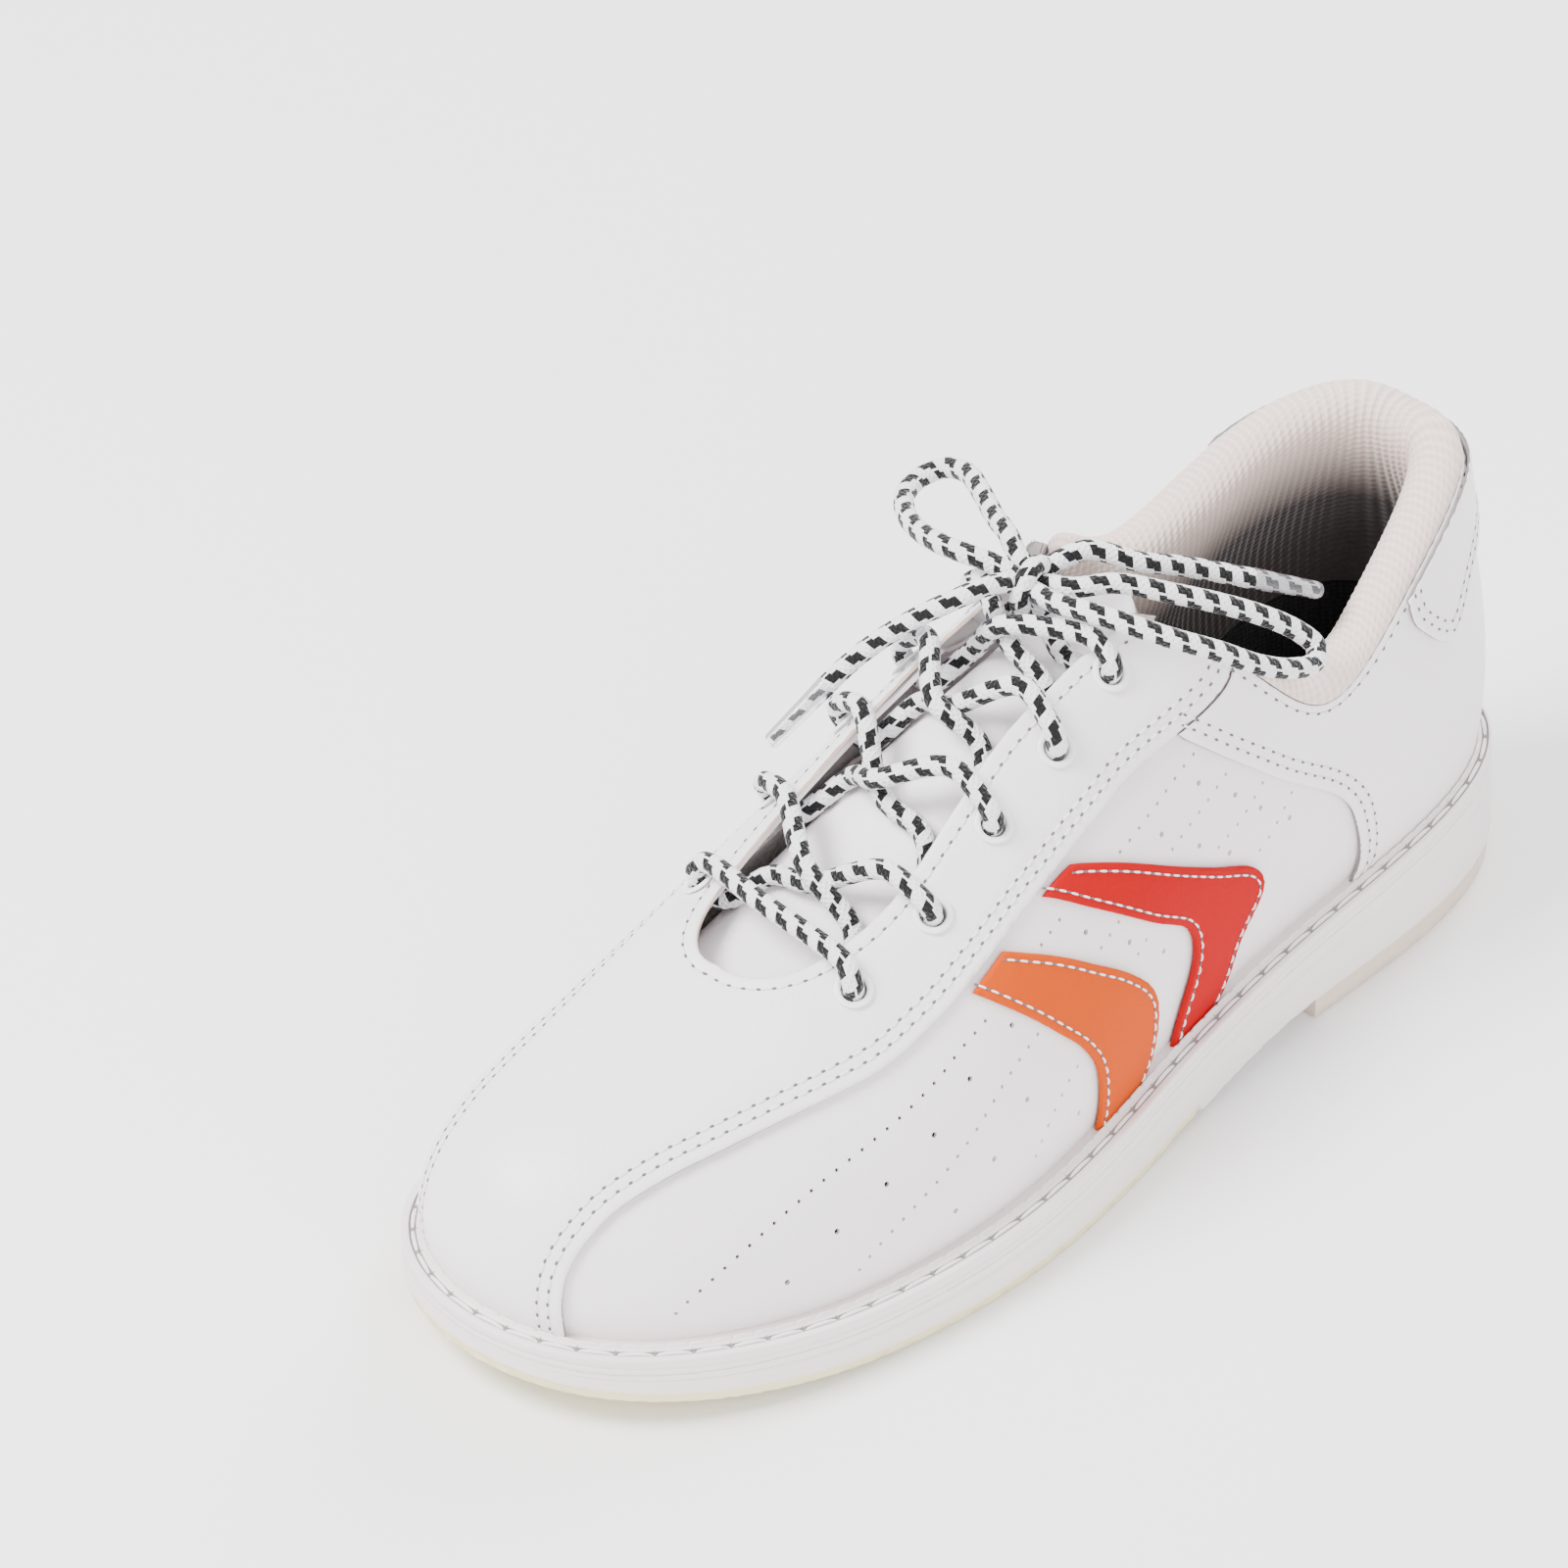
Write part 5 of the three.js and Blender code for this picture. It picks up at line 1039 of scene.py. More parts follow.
# ------------------------------------------------------------------ upper
eye_top = {1: [(c, 3.7) for c in EYELETS], -1: [((N - c[0], c[1]), 3.7) for c in EYELETS_IN]}
eye_mid = {1: [(c, 4.0) for c in EYELETS[:4]], -1: [((N - c[0], c[1]), 4.0) for c in EYELETS_IN[:4]]}
bag = Bag()
panel("vamp_shell", VAMP, TOP, (1, -1), "leather", "white_leather", cut="cut", eye_holes=eye_top, sew_lines=[(VAMP_EDGE, (2.9, 5.3)), (THROAT, (3.0,))], bag=bag, stands=["vamp"], edge_mat="edge")
bag.make("vamp_stitching", ["thread", "hole"])
for s, nm in ((1, "lateral"), (-1, "medial")):
    # punched holes of the part of the quarter that shows
    covers = [ring_of(sg, s, 1.5) for sg in (VAMP, BACKQ, RED_C, ORANGE_C)]
    lines_ = tree(np.concatenate([s_raw(c[:, 0], c[:, 1]) for c in covers]))
    mine = ring_of(QUARTER, s, 1.5)
    holes_ = []

    def free(c, gap_):
        p = np.array([c])
        if not inside(p * SC, mine * SC)[0] or any(inside(p * SC, q * SC)[0] for q in covers) or c[1] < .05:
            return False
        P = s_raw(c[0], c[1])
        return lines_.find(P)[2] > gap_ and all(np.linalg.norm(P - q[0]) > q[1] for q in taken)
    taken = []
    for L in BIG:
        c = on_side(np.array([L]), s)[0]
        if free(c, 2.4):
            holes_.append((c, .68))
            taken.append((s_raw(c[0], c[1]), 2.6))
    for L in ROWS:
        Q = catmull(np.array(L) * SC, per=20) / SC
        Q = on_side(Q, s)
        P = s_raw(Q[:, 0], Q[:, 1])
        dd = np.concatenate([[0], np.cumsum(np.linalg.norm(np.diff(P, axis=0), axis=1))])
        for x in np.arange(1.2, dd[-1], 3.55):
            c = np.array([np.interp(x, dd, Q[:, 0]), np.interp(x, dd, Q[:, 1])])
            if free(c, 1.9):
                holes_.append((c, .45))
                taken.append((s_raw(c[0], c[1]), 2.0))
    panel("quarter_shell_" + nm, QUARTER, MID, (s,), "quarter", "white_leather", eye_holes={s: eye_mid[s]}, punched={s: holes_}, h=2.6, rows=(.4, 1.2), stands=["quarter_" + nm])
    bag = Bag()
    panel("back_quarter_shell_" + nm, BACKQ, TOP, (s,), "leather", "white_leather", cut="cut", sew_lines=[(BACKQ_EDGE, (2.6, 4.9)), (BACKQ[4][0], (1.9,))], bag=bag, stands=["back_quarter_" + nm], h=2.6)
    bag.make("back_quarter_stitching_" + nm, ["thread", "hole"])
    bag = Bag()
    panel("chevron_red_shell_" + nm, RED_C, TOP, (s,), "red", "red_leather", sew_lines=[(RED_A, (1.8,)), (RED_B, (1.8,))], bag=bag, stands=["chevron_red_" + nm], pitch=3.1, gap=1.15, rad=.25)
    panel("chevron_orange_shell_" + nm, ORANGE_C, TOP, (s,), "orange", "orange_leather", sew_lines=[(OR_A, (1.8,)), (OR_B, (1.8,))], bag=bag, stands=["chevron_orange_" + nm], pitch=3.1, gap=1.15, rad=.25)
    bag.make("chevron_stitching_" + nm, ["thread", "hole"])
bag = Bag()
panel("heel_tab_shell", [(TAB_EDGE, 1), (seg([-2.02, .99], [2.02, .99]), 1)], TAB, (1,), "leather", "white_leather", cut="cut", sew_lines=[(TAB_EDGE, (2.2, 4.3))], bag=bag, stands=["heel_tab"], r=.6)
bag.make("heel_tab_stitching", ["thread", "hole"])

# eyelets
prof = np.array([[2.8,-2.45],[2.8,1.7],[2.87,2.05],[3.05,2.3],[3.35,2.42],[3.75,2.40],[4.1,2.30],[4.28,2.12],[4.3,1.95],[4.2,1.85],[3.3,1.85],[3.3,-2.0],[3.8,-2.0],[3.8,-2.45]])
for s, nm in ((1, "lateral"), (-1, "medial")):
    for i in range(5):
        c = EYELETS[i] if s > 0 else (N - EYELETS_IN[i][0], EYELETS_IN[i][1])
        p, n = S(c[0], c[1]), NN(c[0], c[1])
        ex = unit(np.cross(n, [0, 0, 1.0]))
        ey = np.cross(n, ex)
        k = 48
        a = 2 * np.pi * np.arange(k) / k
        V_ = p + prof[None, :, 1, None] * n + prof[None, :, 0, None] * (np.cos(a)[:, None, None] * ex + np.sin(a)[:, None, None] * ey)
        make(f"eyelet_ring_{nm}_{i + 1}", V_.reshape(-1, 3), grid_faces(k, len(prof), True, True), "enamel", slot="eyelet", stands=[f"eyelet_{nm}_{i + 1}"], sharp=50)

# ------------------------------------------------------------------ collar
NU = 620
cu = np.linspace(-3.8, 3.8, NU)
cn = s_norm(cu, .985)
cT, cD = s_raw(cu, 1.0), d1_at(cu)
tt = np.linspace(1, 0, 101)
wall = s_raw(cu[:, None], tt[None])
walln = s_norm(cu[:, None], np.minimum(tt, .985)[None])
walld = np.concatenate([np.zeros((NU, 1)), np.cumsum(np.linalg.norm(np.diff(wall, axis=1), axis=2), 1)], 1)


def collar_points(w, h):
    """w, h: (NU, m) arrays -> points (NU, m, 3)."""
    up_ = cT[:, None] + cD[:, None] * h[..., None] - cn[:, None] * w[..., None]
    down = np.empty_like(up_)
    for i in range(NU):
        x = np.maximum(-h[i], 0)
        q = np.stack([np.interp(x, walld[i], wall[i, :, k]) for k in range(3)], -1)
        qn = unit(np.stack([np.interp(x, walld[i], walln[i, :, k]) for k in range(3)], -1))
        down[i] = q - qn * w[i][:, None]
    return np.where((h >= 0)[..., None], up_, down)


au = np.abs(cu)
k_ = np.where(au > 3.2, 1 - .35 * (au - 3.2) / .6, 1.0)
D_ = 34 - 11 * np.clip((au - 2) / 1.2, 0, 1)
sec = lambda k, D, X_: [[-1.1,-.3],[-1.05,.9],[-.2,2.7*k],[1.4*k,4.2*k],[3.6*k,4.95*k],[5.4*k,5.25*k],[7.2*k,4.75*k],[9.4*k,3.0*k],[10.5*k,.2],[10.7*k,-6],[10.0*k,-13],[8.1*k,-D*.7-.4],[6.1,-D-1],[5.7,-D-5],[5.55,-D-11],[5.5,-D-X_]]
inner = lambda k, D, X_: [[5.0,-D-X_],[5.0,-D-11],[4.9,-D-5],[3.4,-D-.5],[2.3,-D+1],[2.2,-D*.5],[2.0,-6],[1.2,-.6]]
W, H = [], []
for k, D, X_ in zip(k_, D_, 18 + 10 * np.clip((au - 2) / 1.2, 0, 1)):
    a = catmull(sec(k, D, X_), n=64)
    b = np.array(inner(k, D, X_))
    q = np.concatenate([a, b])
    W.append(q[:, 0])
    H.append(q[:, 1])
W, H = np.array(W), np.array(H)
tip = np.clip((au - 3.60) / .20, 0, .97)
tip = np.sqrt(1 - tip ** 2)[:, None]
W = 4.6 + (W - 4.6) * tip
H = np.where(H > -14, -5 + (H + 5) * tip, H)
CP = collar_points(W, H)
m_out = 65
along = np.concatenate([[0], np.cumsum(np.linalg.norm(np.diff(CP[:, 20], axis=0), axis=1))])
RIB = 1.9
nrm = unit(np.cross(np.gradient(CP[:, :m_out], axis=0), np.gradient(CP[:, :m_out], axis=1)))
mid_ = CP[:, :m_out].mean(1, keepdims=True)
sg = np.sign(((CP[:, 24] - CP[:, m_out + 4]) * nrm[:, 24]).sum())
fade_ = np.clip(np.arange(m_out) / 6, 0, 1) * np.clip((m_out - 1 - np.arange(m_out)) / 4, 0, 1)
CP[:, :m_out] += sg * nrm * (.13 * np.sin(2 * np.pi * along / RIB)[:, None] * fade_[None])[..., None]
acr = np.concatenate([[0], np.cumsum(np.linalg.norm(np.diff(CP[NU // 2], axis=0), axis=1))])
uvc = np.stack([np.repeat(along[:, None], CP.shape[1], 1), np.repeat(acr[None], NU, 0)], -1)
mm = CP.shape[1]
faces = grid_faces(NU, mm, False, True)
faces.append(tuple(range(mm)))
faces.append(tuple((NU - 1) * mm + j for j in reversed(range(mm))))
collar = make("collar_cover", CP.reshape(-1, 3), faces, "collar", slot="collar_mesh", stands=["collar_lining", "collar_foam"], uv=uvc.reshape(-1, 2), sharp=60)
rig.padded(collar, fill=0.7)

# ------------------------------------------------------------------ tongue
TS = np.array(TSEC)                                   # 13 rows x 9 columns
rows_ = np.stack([catmull(TS[:, j], n=104) for j in range(9)], 1)
wing = np.interp(np.linspace(0, 12, len(rows_)), [0, 1.2, 2.2, 8.2, 9.6, 12], [0, .3, .85, .85, .1, .0])[:, None]
def beyond(a, b, c):
    return a + (a - b) * wing + .5 * (a - 2 * b + c) * wing * (1 + wing)
new0 = beyond(rows_[:, 0], rows_[:, 1], rows_[:, 2]).copy()
wing = wing * 1.5
new8 = beyond(rows_[:, 8], rows_[:, 7], rows_[:, 6]).copy()
rows_[:, 0], rows_[:, 8] = new0, new8
fine_ = np.stack([catmull(rows_[i], n=60) for i in range(len(rows_))], 0)
tn = unit(np.cross(np.gradient(fine_, axis=0), np.gradient(fine_, axis=1)))
tn *= np.sign(tn[..., 2].mean())
nr, nc = fine_.shape[:2]
e_ = np.abs(np.linspace(-1, 1, nc))
r_ = np.linspace(0, 12, nr)
kk = (1 - .45 * e_[None] ** 3) * np.interp(r_, [0, 1, 2, 9.5, 10.5, 12], [.7, .7, 1, 1, .78, .75])[:, None]
# distance-like factor to the free edges, for a rolled rim
ecol = np.clip((1 - e_) * 27 / 3.2, 0, 1)
erow = np.clip((12 - r_) / .55, 0, 1) * np.clip(r_ / .4, 0, 1)
rim = 1 - np.sqrt(np.clip(1 - (1 - np.minimum(ecol[None], erow[:, None])) ** 2, 0, 1))
ch = 0.0 * rim
for e0 in (.68,):                                      # sewn channel near the rim
    ch = ch + .5 * np.exp(-((e_[None] - e0) * 27 / 1.1) ** 2) * (r_[:, None] < 11.0)
crown = .35 * (1 - e_[None] ** 2)
topw = (-2.2 * rim - ch + 0 * crown) * kk
botw = (-5.7 + 2.2 * rim) * kk


def plate(top_, bot_, name, mat, slot_, stands):
    n_, m_ = top_.shape[:2]
    V_ = np.concatenate([top_.reshape(-1, 3), bot_.reshape(-1, 3)])
    o = n_ * m_
    F_ = grid_faces(n_, m_, False, False)
    F_ += [tuple(reversed([i + o for i in f])) for f in grid_faces(n_, m_, False, False)]
    bd = [i * m_ for i in range(n_)] + [(n_ - 1) * m_ + j for j in range(1, m_)] + [i * m_ + m_ - 1 for i in reversed(range(n_ - 1))] + [j for j in reversed(range(1, m_ - 1))]
    for a, b in zip(bd, bd[1:] + bd[:1]):
        F_.append((b, a, a + o, b + o))
    ac = np.concatenate([[0], np.cumsum(np.linalg.norm(np.diff(top_[n_ // 2], axis=0), axis=1))])
    al = np.concatenate([[0], np.cumsum(np.linalg.norm(np.diff(top_[:, m_ // 2], axis=0), axis=1))])
    uv = np.stack(np.meshgrid(ac, al), -1).reshape(-1, 2)
    return make(name, V_, F_, mat, body="tongue", slot=slot_, stands=stands, uv=np.concatenate([uv, uv]), sharp=70)


tongue = plate(fine_ + tn * topw[..., None], fine_ + tn * botw[..., None], "tongue_cover", "leather", "white_leather", ["tongue_face", "tongue_foam"])
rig.padded(tongue, fill=0.6)
plate(fine_ + tn * (-7.0 * kk - .0)[..., None], fine_ + tn * (-8.5 * kk)[..., None], "tongue_back", "tongue_mesh", "collar_mesh", ["tongue_lining"])
tb = Bag()
for e0 in (-.68, .68):
    j = int(round((e0 + 1) / 2 * (nc - 1)))
    P = (fine_ + tn * topw[..., None])[4:96, j]
    V_, F_, bt = capsules([(P, tn[4:96, j])], 3.4, 1.0, .27, .12, -.16)
    tb.put(V_, F_, 0)
    V_, F_ = discs(bt, .3, .03)
    tb.put(V_, F_, 1)
tb.make("tongue_stitching", ["thread", "hole"], body="tongue")

# lace lengths in metres, and light strengths
LEN_L1, LEN_L2, LEN_T1, LEN_T2 = 0.1076, 0.1485, 0.070, 0.071
WORLD, KEY, FILL, BACKL = 1.25, 66.0, 18.0, 28.0


# ------------------------------------------------------------------ sole unit
def outline(inset, step, y0=-1e9, y1=1e9):
    u = np.linspace(0, N, 2401)[:-1]
    x, y, _, _ = outl(u, inset(u) if callable(inset) else inset)
    P = np.stack([x, y], -1)
    for lim, sg_ in ((y0, 1), (y1, -1)):
        f = sg_ * (P[:, 1] - lim)
        out = []
        for i in range(len(P)):
            a, b, fa, fb = P[i], P[(i + 1) % len(P)], f[i], f[(i + 1) % len(P)]
            if fa >= 0:
                out.append(a)
            if fa * fb < 0:
                out.append(a + (b - a) * fa / (fa - fb))
        P = np.array(out)
    flat = lambda p: abs(p[1] - y0) < 1e-6 or abs(p[1] - y1) < 1e-6
    st = next((i for i, p in enumerate(P) if flat(p)), 0)
    P = np.roll(P, -st, 0)
    segs_, cur = [], []
    for i in range(len(P) + 1):
        p = P[i % len(P)]
        cur.append(p)
        if len(cur) > 1 and flat(p):
            segs_.append(cur)
            cur = [p]
    if len(cur) > 1:
        segs_.append(cur)
    out = []
    for sg_ in segs_:
        r = even(np.array(sg_), step=step)
        out += list(r[:-1])
    return np.array(out)


def slab(name, ring, top, bot, mat, slot_, body, stands, h=4.0, rt=.4, rb=.6, wall=(), lines=(), sharp=50, relief=None):
    tan = np.roll(ring, -1, 0) - np.roll(ring, 1, 0)
    nin = unit(np.stack([tan[:, 1], -tan[:, 0]], -1))
    if signed(ring) > 0:
        nin = -nin
    extra = [ring + nin * d for d in (.25, .7)]
    G = hexgrid(ring.min(0), ring.max(0), h)
    for y_ in lines:
        xs = np.arange(ring[:, 0].min(), ring[:, 0].max(), 1.2)
        extra.append(np.stack([xs, np.full_like(xs, y_)], -1))
    G = np.concatenate(extra + [G])
    G = G[inside(G, ring)]
    fine_r = even(np.concatenate([ring, ring[:1]]), step=.5)
    kt = tree(np.concatenate([fine_r, np.zeros((len(fine_r), 1))], 1))
    dd = dist(kt, np.concatenate([G, np.zeros((len(G), 1))], 1))
    G = G[dd > .2]
    seen, keep = set(), []
    for i, p in enumerate(G):
        c = (int(p[0] / .3), int(p[1] / .3))
        if c not in seen:
            seen.add(c)
            keep.append(i)
    Q, F = cdt(ring, [], G[keep])
    d = dist(kt, np.concatenate([Q, np.zeros((len(Q), 1))], 1))
    zt_, zb_ = top(Q[:, 0], Q[:, 1]), bot(Q[:, 0], Q[:, 1])
    if relief is not None:
        zb_ = zb_ + relief(Q[:, 0], Q[:, 1]) * np.clip((d - 1.2) / .8, 0, 1)
    T = np.stack([Q[:, 0], Q[:, 1], zt_ - rounding(d, rt)], -1)
    B_ = np.stack([Q[:, 0], Q[:, 1], zb_ + rounding(d, rb)], -1)
    mids = []
    for f, dv in wall:
        near = np.array([kt.find((*p, 0))[1] for p in Q])
        k = (near % len(fine_r)) * len(ring) // len(fine_r)
        z = (zt_ - rt) * (1 - f) + (zb_ + rb) * f
        mids.append(np.stack([Q[:, 0] + nin[k % len(ring), 0] * dv, Q[:, 1] + nin[k % len(ring), 1] * dv, z], -1))
    V_, faces, flag, _ = shell(T, B_, F, mids)
    return make(name, V_, faces, mat, body=body, slot=slot_, stands=stands, sharp=sharp)


PAD_END, HEEL_Y = 23.2, 66.0
slab("outsole_unit", outline(0.0, 1.6), lambda x, y: zt(y) - 4.08, lambda x, y: np.where(y < PAD_END + .4, zb(y) + 2.72, np.maximum(zb(y), np.where(y >= HEEL_Y - .7, 6.1, 0.0))), "sole", "sole", "shoe", ["outsole"], h=5.0, rt=.25, rb=.3,
     wall=[(.04, 0), (.26, 0), (.29, .22), (.32, 0), (.5, -.05), (.8, 0), (.97, .03)], lines=(PAD_END + .3, PAD_END + .5, HEEL_Y - .9, HEEL_Y - .6))
slab("slide_pad_felt", outline(.6, 1.8, -1e9, PAD_END), lambda x, y: zb(y) + 2.6, lambda x, y: zb(y), "slide", "slide_sole", "slide_pad", ["slide_pad"], h=4.0, rt=.2, rb=.5)
slab("heel_rubber_pad", outline(.8, 1.2, HEEL_Y, 1e9), lambda x, y: 6.0 + 0 * x, lambda x, y: 0 * x, "heel", "heel_rubber", "heel_piece", ["heel_pad"], h=1.1, rt=.25, rb=.8, wall=[(.3, 0), (.36, .18), (.42, 0)],
     relief=lambda x, y: .45 * np.clip(np.sin(2 * np.pi * (y + .004 * x * x) / 5.0) * 2.2 - 1.0, 0, 1))

MW = 1500
wu = N * np.arange(MW) / MW
iw = ins(wu)
gx, gy, _, _ = outl(wu, iw * .5)
arc = np.concatenate([[0], np.cumsum(np.hypot(np.diff(gx), np.diff(gy)))])
total = arc[-1] + math.hypot(gx[0] - gx[-1], gy[0] - gy[-1])
nb = round(total / 4.8)
notch = np.exp(-(((arc / total * nb) % 1 - .5) * 4.8 / .42) ** 2)
gc = 1.5 + (iw - 5) * .55
secs = []
for i_, g_, nt_ in zip(iw, gc, notch):
    b0, b1 = i_ - 2.75, i_ - 1.75
    bh = .75 - .55 * nt_
    secs.append([[0,-4.0],[.12,-3.9],[0,-3.78],[0,-2.5],[.14,-2.35],[0,-2.2],[0,-.55],[.08,-.22],[.25,-.05],[.5,.02],[g_-1.05,.02],[g_-.86,-.05],[g_-.76,-.3],[g_-.72,-.8],[g_+.6,-.8],[g_+.64,-.3],[g_+.72,-.05],[g_+.85,.02],
                 [b0-.1,.05],[b0,.12],[b0+.12,.1+bh*.6],[b0+.32,.1+bh*.92],[b0+.5,.1+bh],[b0+.7,.1+bh*.92],[b0+.88,.1+bh*.6],[b1,.12],[b1+.15,.0],[i_+.9,.0],[i_+1.3,-1.9],[i_+7,-1.9],[i_+7,-4.0]])
secs = np.array(secs)
WX, WY, _, _ = outl(wu[:, None], secs[..., 0])
WZ = zt(WY) + secs[..., 1]
ns_ = secs.shape[1]
welt_groove_shade_mi = np.zeros((MW, ns_), int)
# the groove faces of the welt take the painted-shade colour
welt_groove_shade_mi[:, 11:16] = 1
make("welt_strip", np.stack([WX, WY, WZ], -1).reshape(-1, 3), grid_faces(MW, ns_, True, True), ["sole", "groove"], slot="sole", stands=["welt"], sharp=55, mi=welt_groove_shade_mi.ravel())
sx_, sy_, _, _ = outl(wu, gc)
P = np.stack([sx_, sy_, zt(sy_) - .72], -1)
P = np.concatenate([P, P[:1]])
Nz = np.tile([0, 0, 1.0], (len(P), 1))
wb = Bag()
V_, F_, bt = capsules([(P, Nz)], 8.2, .75, .50, .52, .05, sides=8, taper=.5)
wb.put(V_, F_, 0)
for c, n, _t in bt[:-1]:
    k = int(np.argmin(np.hypot(P[:, 0] - c[0], P[:, 1] - c[1]))) % MW
    tx, ty = P[(k + 1) % MW, 0] - P[k, 0], P[(k + 1) % MW, 1] - P[k, 1]
    o = unit(np.array([ty, -tx, 0.0]))
    o = o if o @ np.array([c[0] - 0, c[1] - 0, 0]) > 0 or True else -o
    line_ = np.array([c + o * q + np.array([0, 0, .78]) for q in np.linspace(-.95, 1.25, 7)])
    V_, F_, _ = capsules([(line_, np.tile([0, 0, 1.0], (7, 1)))], 2.1, .05, .11, -.06, -.10, sides=6)
    wb.put(V_, F_, 1)
wb.make("welt_stitching", ["thread", "tick"], slot="sole")
slab("footbed_cushion", outline(lambda u: ins(u) + 5.05, 2.0), lambda x, y: zt(y) + .7 + table([[-148, 0, 60, 148], [3, 3, 5, 5]])(y), lambda x, y: zt(y) + .7, "footbed", "footbed_foam", "sock_liner", ["footbed"], h=4.0, rt=1.2, rb=.3)


# ------------------------------------------------------------------ lace
def frames(P):
    T = unit(np.gradient(P, axis=0))
    a = unit(np.cross(T[0], [0.2, 0.3, 1.0]))
    A = [a]
    for i in range(1, len(P)):
        a = a - T[i] * (a @ T[i])
        a = a / (np.linalg.norm(a) + 1e-12)
        A.append(a)
    A = np.array(A)
    return T, A, np.cross(T, A)


def lace(name, P, r=2.28, sides=20, body="shoe", stands=(), x0=0.0, closed=False, ends=(1, 1), squeeze=None, vshift=0.0):
    """Braided tube along even points P."""
    n = len(P)
    T, A, B = frames(P)
    s = x0 + np.concatenate([[0], np.cumsum(np.linalg.norm(np.diff(P, axis=0), axis=1))])
    ang = 2 * np.pi * np.arange(sides + 1) / sides
    v = np.arange(sides + 1) / sides + vshift
    rel = .06 * np.cos(2 * np.pi * (s[:, None] / 1.5 + 8 * v[None])) * np.cos(2 * np.pi * (s[:, None] / 1.5 - 8 * v[None]))
    rr = r + rel * 0.8
    if squeeze is not None:
        rr = rr * squeeze[:, None]
    tub = P[:, None] + rr[..., None] * (np.cos(ang)[None, :, None] * A[:, None] + np.sin(ang)[None, :, None] * B[:, None])
    # seam column carries its own uv: weld by vertex, uv by face corner
    V_ = tub[:, :sides].reshape(-1, 3)
    F_, UVL = [], []
    for i in range(n - 1):
        for j in range(sides):
            j2 = (j + 1) % sides
            F_.append((i * sides + j, i * sides + j2, (i + 1) * sides + j2, (i + 1) * sides + j))
            UVL += [(s[i], v[j]), (s[i], v[j] + 1 / sides), (s[i + 1], v[j] + 1 / sides), (s[i + 1], v[j])]
    V_ = list(V_)
    for e, (row, sign) in enumerate(((0, -1), (n - 1, 1))):
        c = len(V_)
        V_.append(P[row] + T[row] * sign * (.9 if ends[e] else .1))
        for j in range(sides):
            j2 = (j + 1) % sides
            F_.append((row * sides + j2, row * sides + j, c) if row == 0 else (row * sides + j, row * sides + j2, c))
            UVL += [(s[row], v[j]), (s[row], v[j]), (s[row], v[j])]
    me = bpy.data.meshes.new(name)
    me.from_pydata([tuple(q) for q in M(np.array(V_))], [], F_)
    lay = me.uv_layers.new(name="UVMap")
    lay.data.foreach_set("uv", np.array(UVL, float).ravel())
    me.materials.append(MAT["braid"])
    co = np.array([q.co for q in me.vertices])
    me.calc_loop_triangles()
    tr = np.array([t.vertices for t in me.loop_triangles])
    if np.einsum("ij,ij->i", co[tr[:, 0]], np.cross(co[tr[:, 1]], co[tr[:, 2]])).sum() < 0:
        me.flip_normals()
    me.polygons.foreach_set("use_smooth", [True] * len(me.polygons))
    ob = bpy.data.objects.new(name, me)
    bpy.context.scene.collection.objects.link(ob)
    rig.ride(ob, body)
    if stands:
        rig.replaces(ob, *stands)
    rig.slot(ob, "lace")
    return ob


def V3(L):
    return [list(p) for p in L]


LOOP_1 = [[-16.2,32.4,116.8],[-20.5,34.6,117.8],[-27,37.6,117],[-36,42.5,116.6],[-44.5,46.6,115.4],[-50.6,46.2,113.8],[-53.4,41.2,112.4],[-51.4,34.6,112.4],[-45,28.8,113.4],[-37,25.2,114.8],[-28,23.6,116.6],[-21.4,24.6,117.0],[-17.0,26.4,116.2]]
LOOP_2 = [[0.4,33.2,115.0],[6.0,40.2,115.2],[14.5,49,112],[20.4,57,108],[25.2,64.8,103],[29.2,71.2,97.6],[32.4,73.8,93.6],[35.2,70.6,92.6],[35.6,63.4,95],[33.4,55.2,99.4],[29.6,46.4,106],[23.8,38.2,111],[15.6,31.0,115.2],[8,27.4,116.2],[1.6,26.2,115.4]]
TAIL_1 = [[-9.6,22.2,117.2],[-10.8,17,118.2],[-12.8,11.2,117.4],[-17,5.4,114.4],[-22,0.6,109.6],[-26.6,-5.2,104.0],[-29.6,-11,98.6]]
TAIL_2 = [[-7.4,36.0,116.4],[-4.6,42.8,117.2],[2.6,50.4,113.6],[6.4,58.6,110],[10.2,66.4,106],[13.6,73.4,102.2]]
AGLET_1, AGLET_2 = [[-29.85,-11.5,98.1],[-34.6,-24.6,87.2]], [[13.95,74.15,101.8],[20.6,88.2,94.2]]
KNOT = np.array([-8.6, 28.6, 114.2])
main = catmull(LACING, per=24, step=.55)
lacing = lace("lacing", main, stands=["lace_lacing"])
LACING_MM = length(main)

# the knot: one strand wrapped over the bundle, the strands of the loops run through it, and the lacing comes up into it
kx = unit(np.array([1.0, 0.16, -0.05]))
kz = unit(np.array([0.05, -0.30, 1.0]) - kx * (kx @ np.array([0.05, -0.30, 1.0])))
ky = np.cross(kz, kx)
ang_ = np.linspace(0, 2 * np.pi, 90)
wrap = KNOT + np.array([0, 0, -.6]) + (np.cos(ang_)[:, None] * ky * 4.9 + np.sin(ang_)[:, None] * kz * 5.0) + (kx * 1.1) * np.sin(ang_ * .5 + .3)[:, None]
wrap = even(wrap, step=.5)
lace("knot_wrap", wrap, r=2.25, stands=["lace_knot"], x0=2.0, ends=(0, 0))
lace("knot_under_a", catmull([[-5.2,29.4,107.2],[-6.0,28.6,110.2],[-8.4,27.6,112.6],[-10.5,27.0,114.0]], step=.5), r=2.2, x0=1.0)
lace("knot_under_b", catmull([[-11.6,29.4,107.2],[-11.2,29.6,110.2],[-9.0,30.4,112.8],[-6.5,31.0,114.0]], step=.5), r=2.2, x0=4.0)
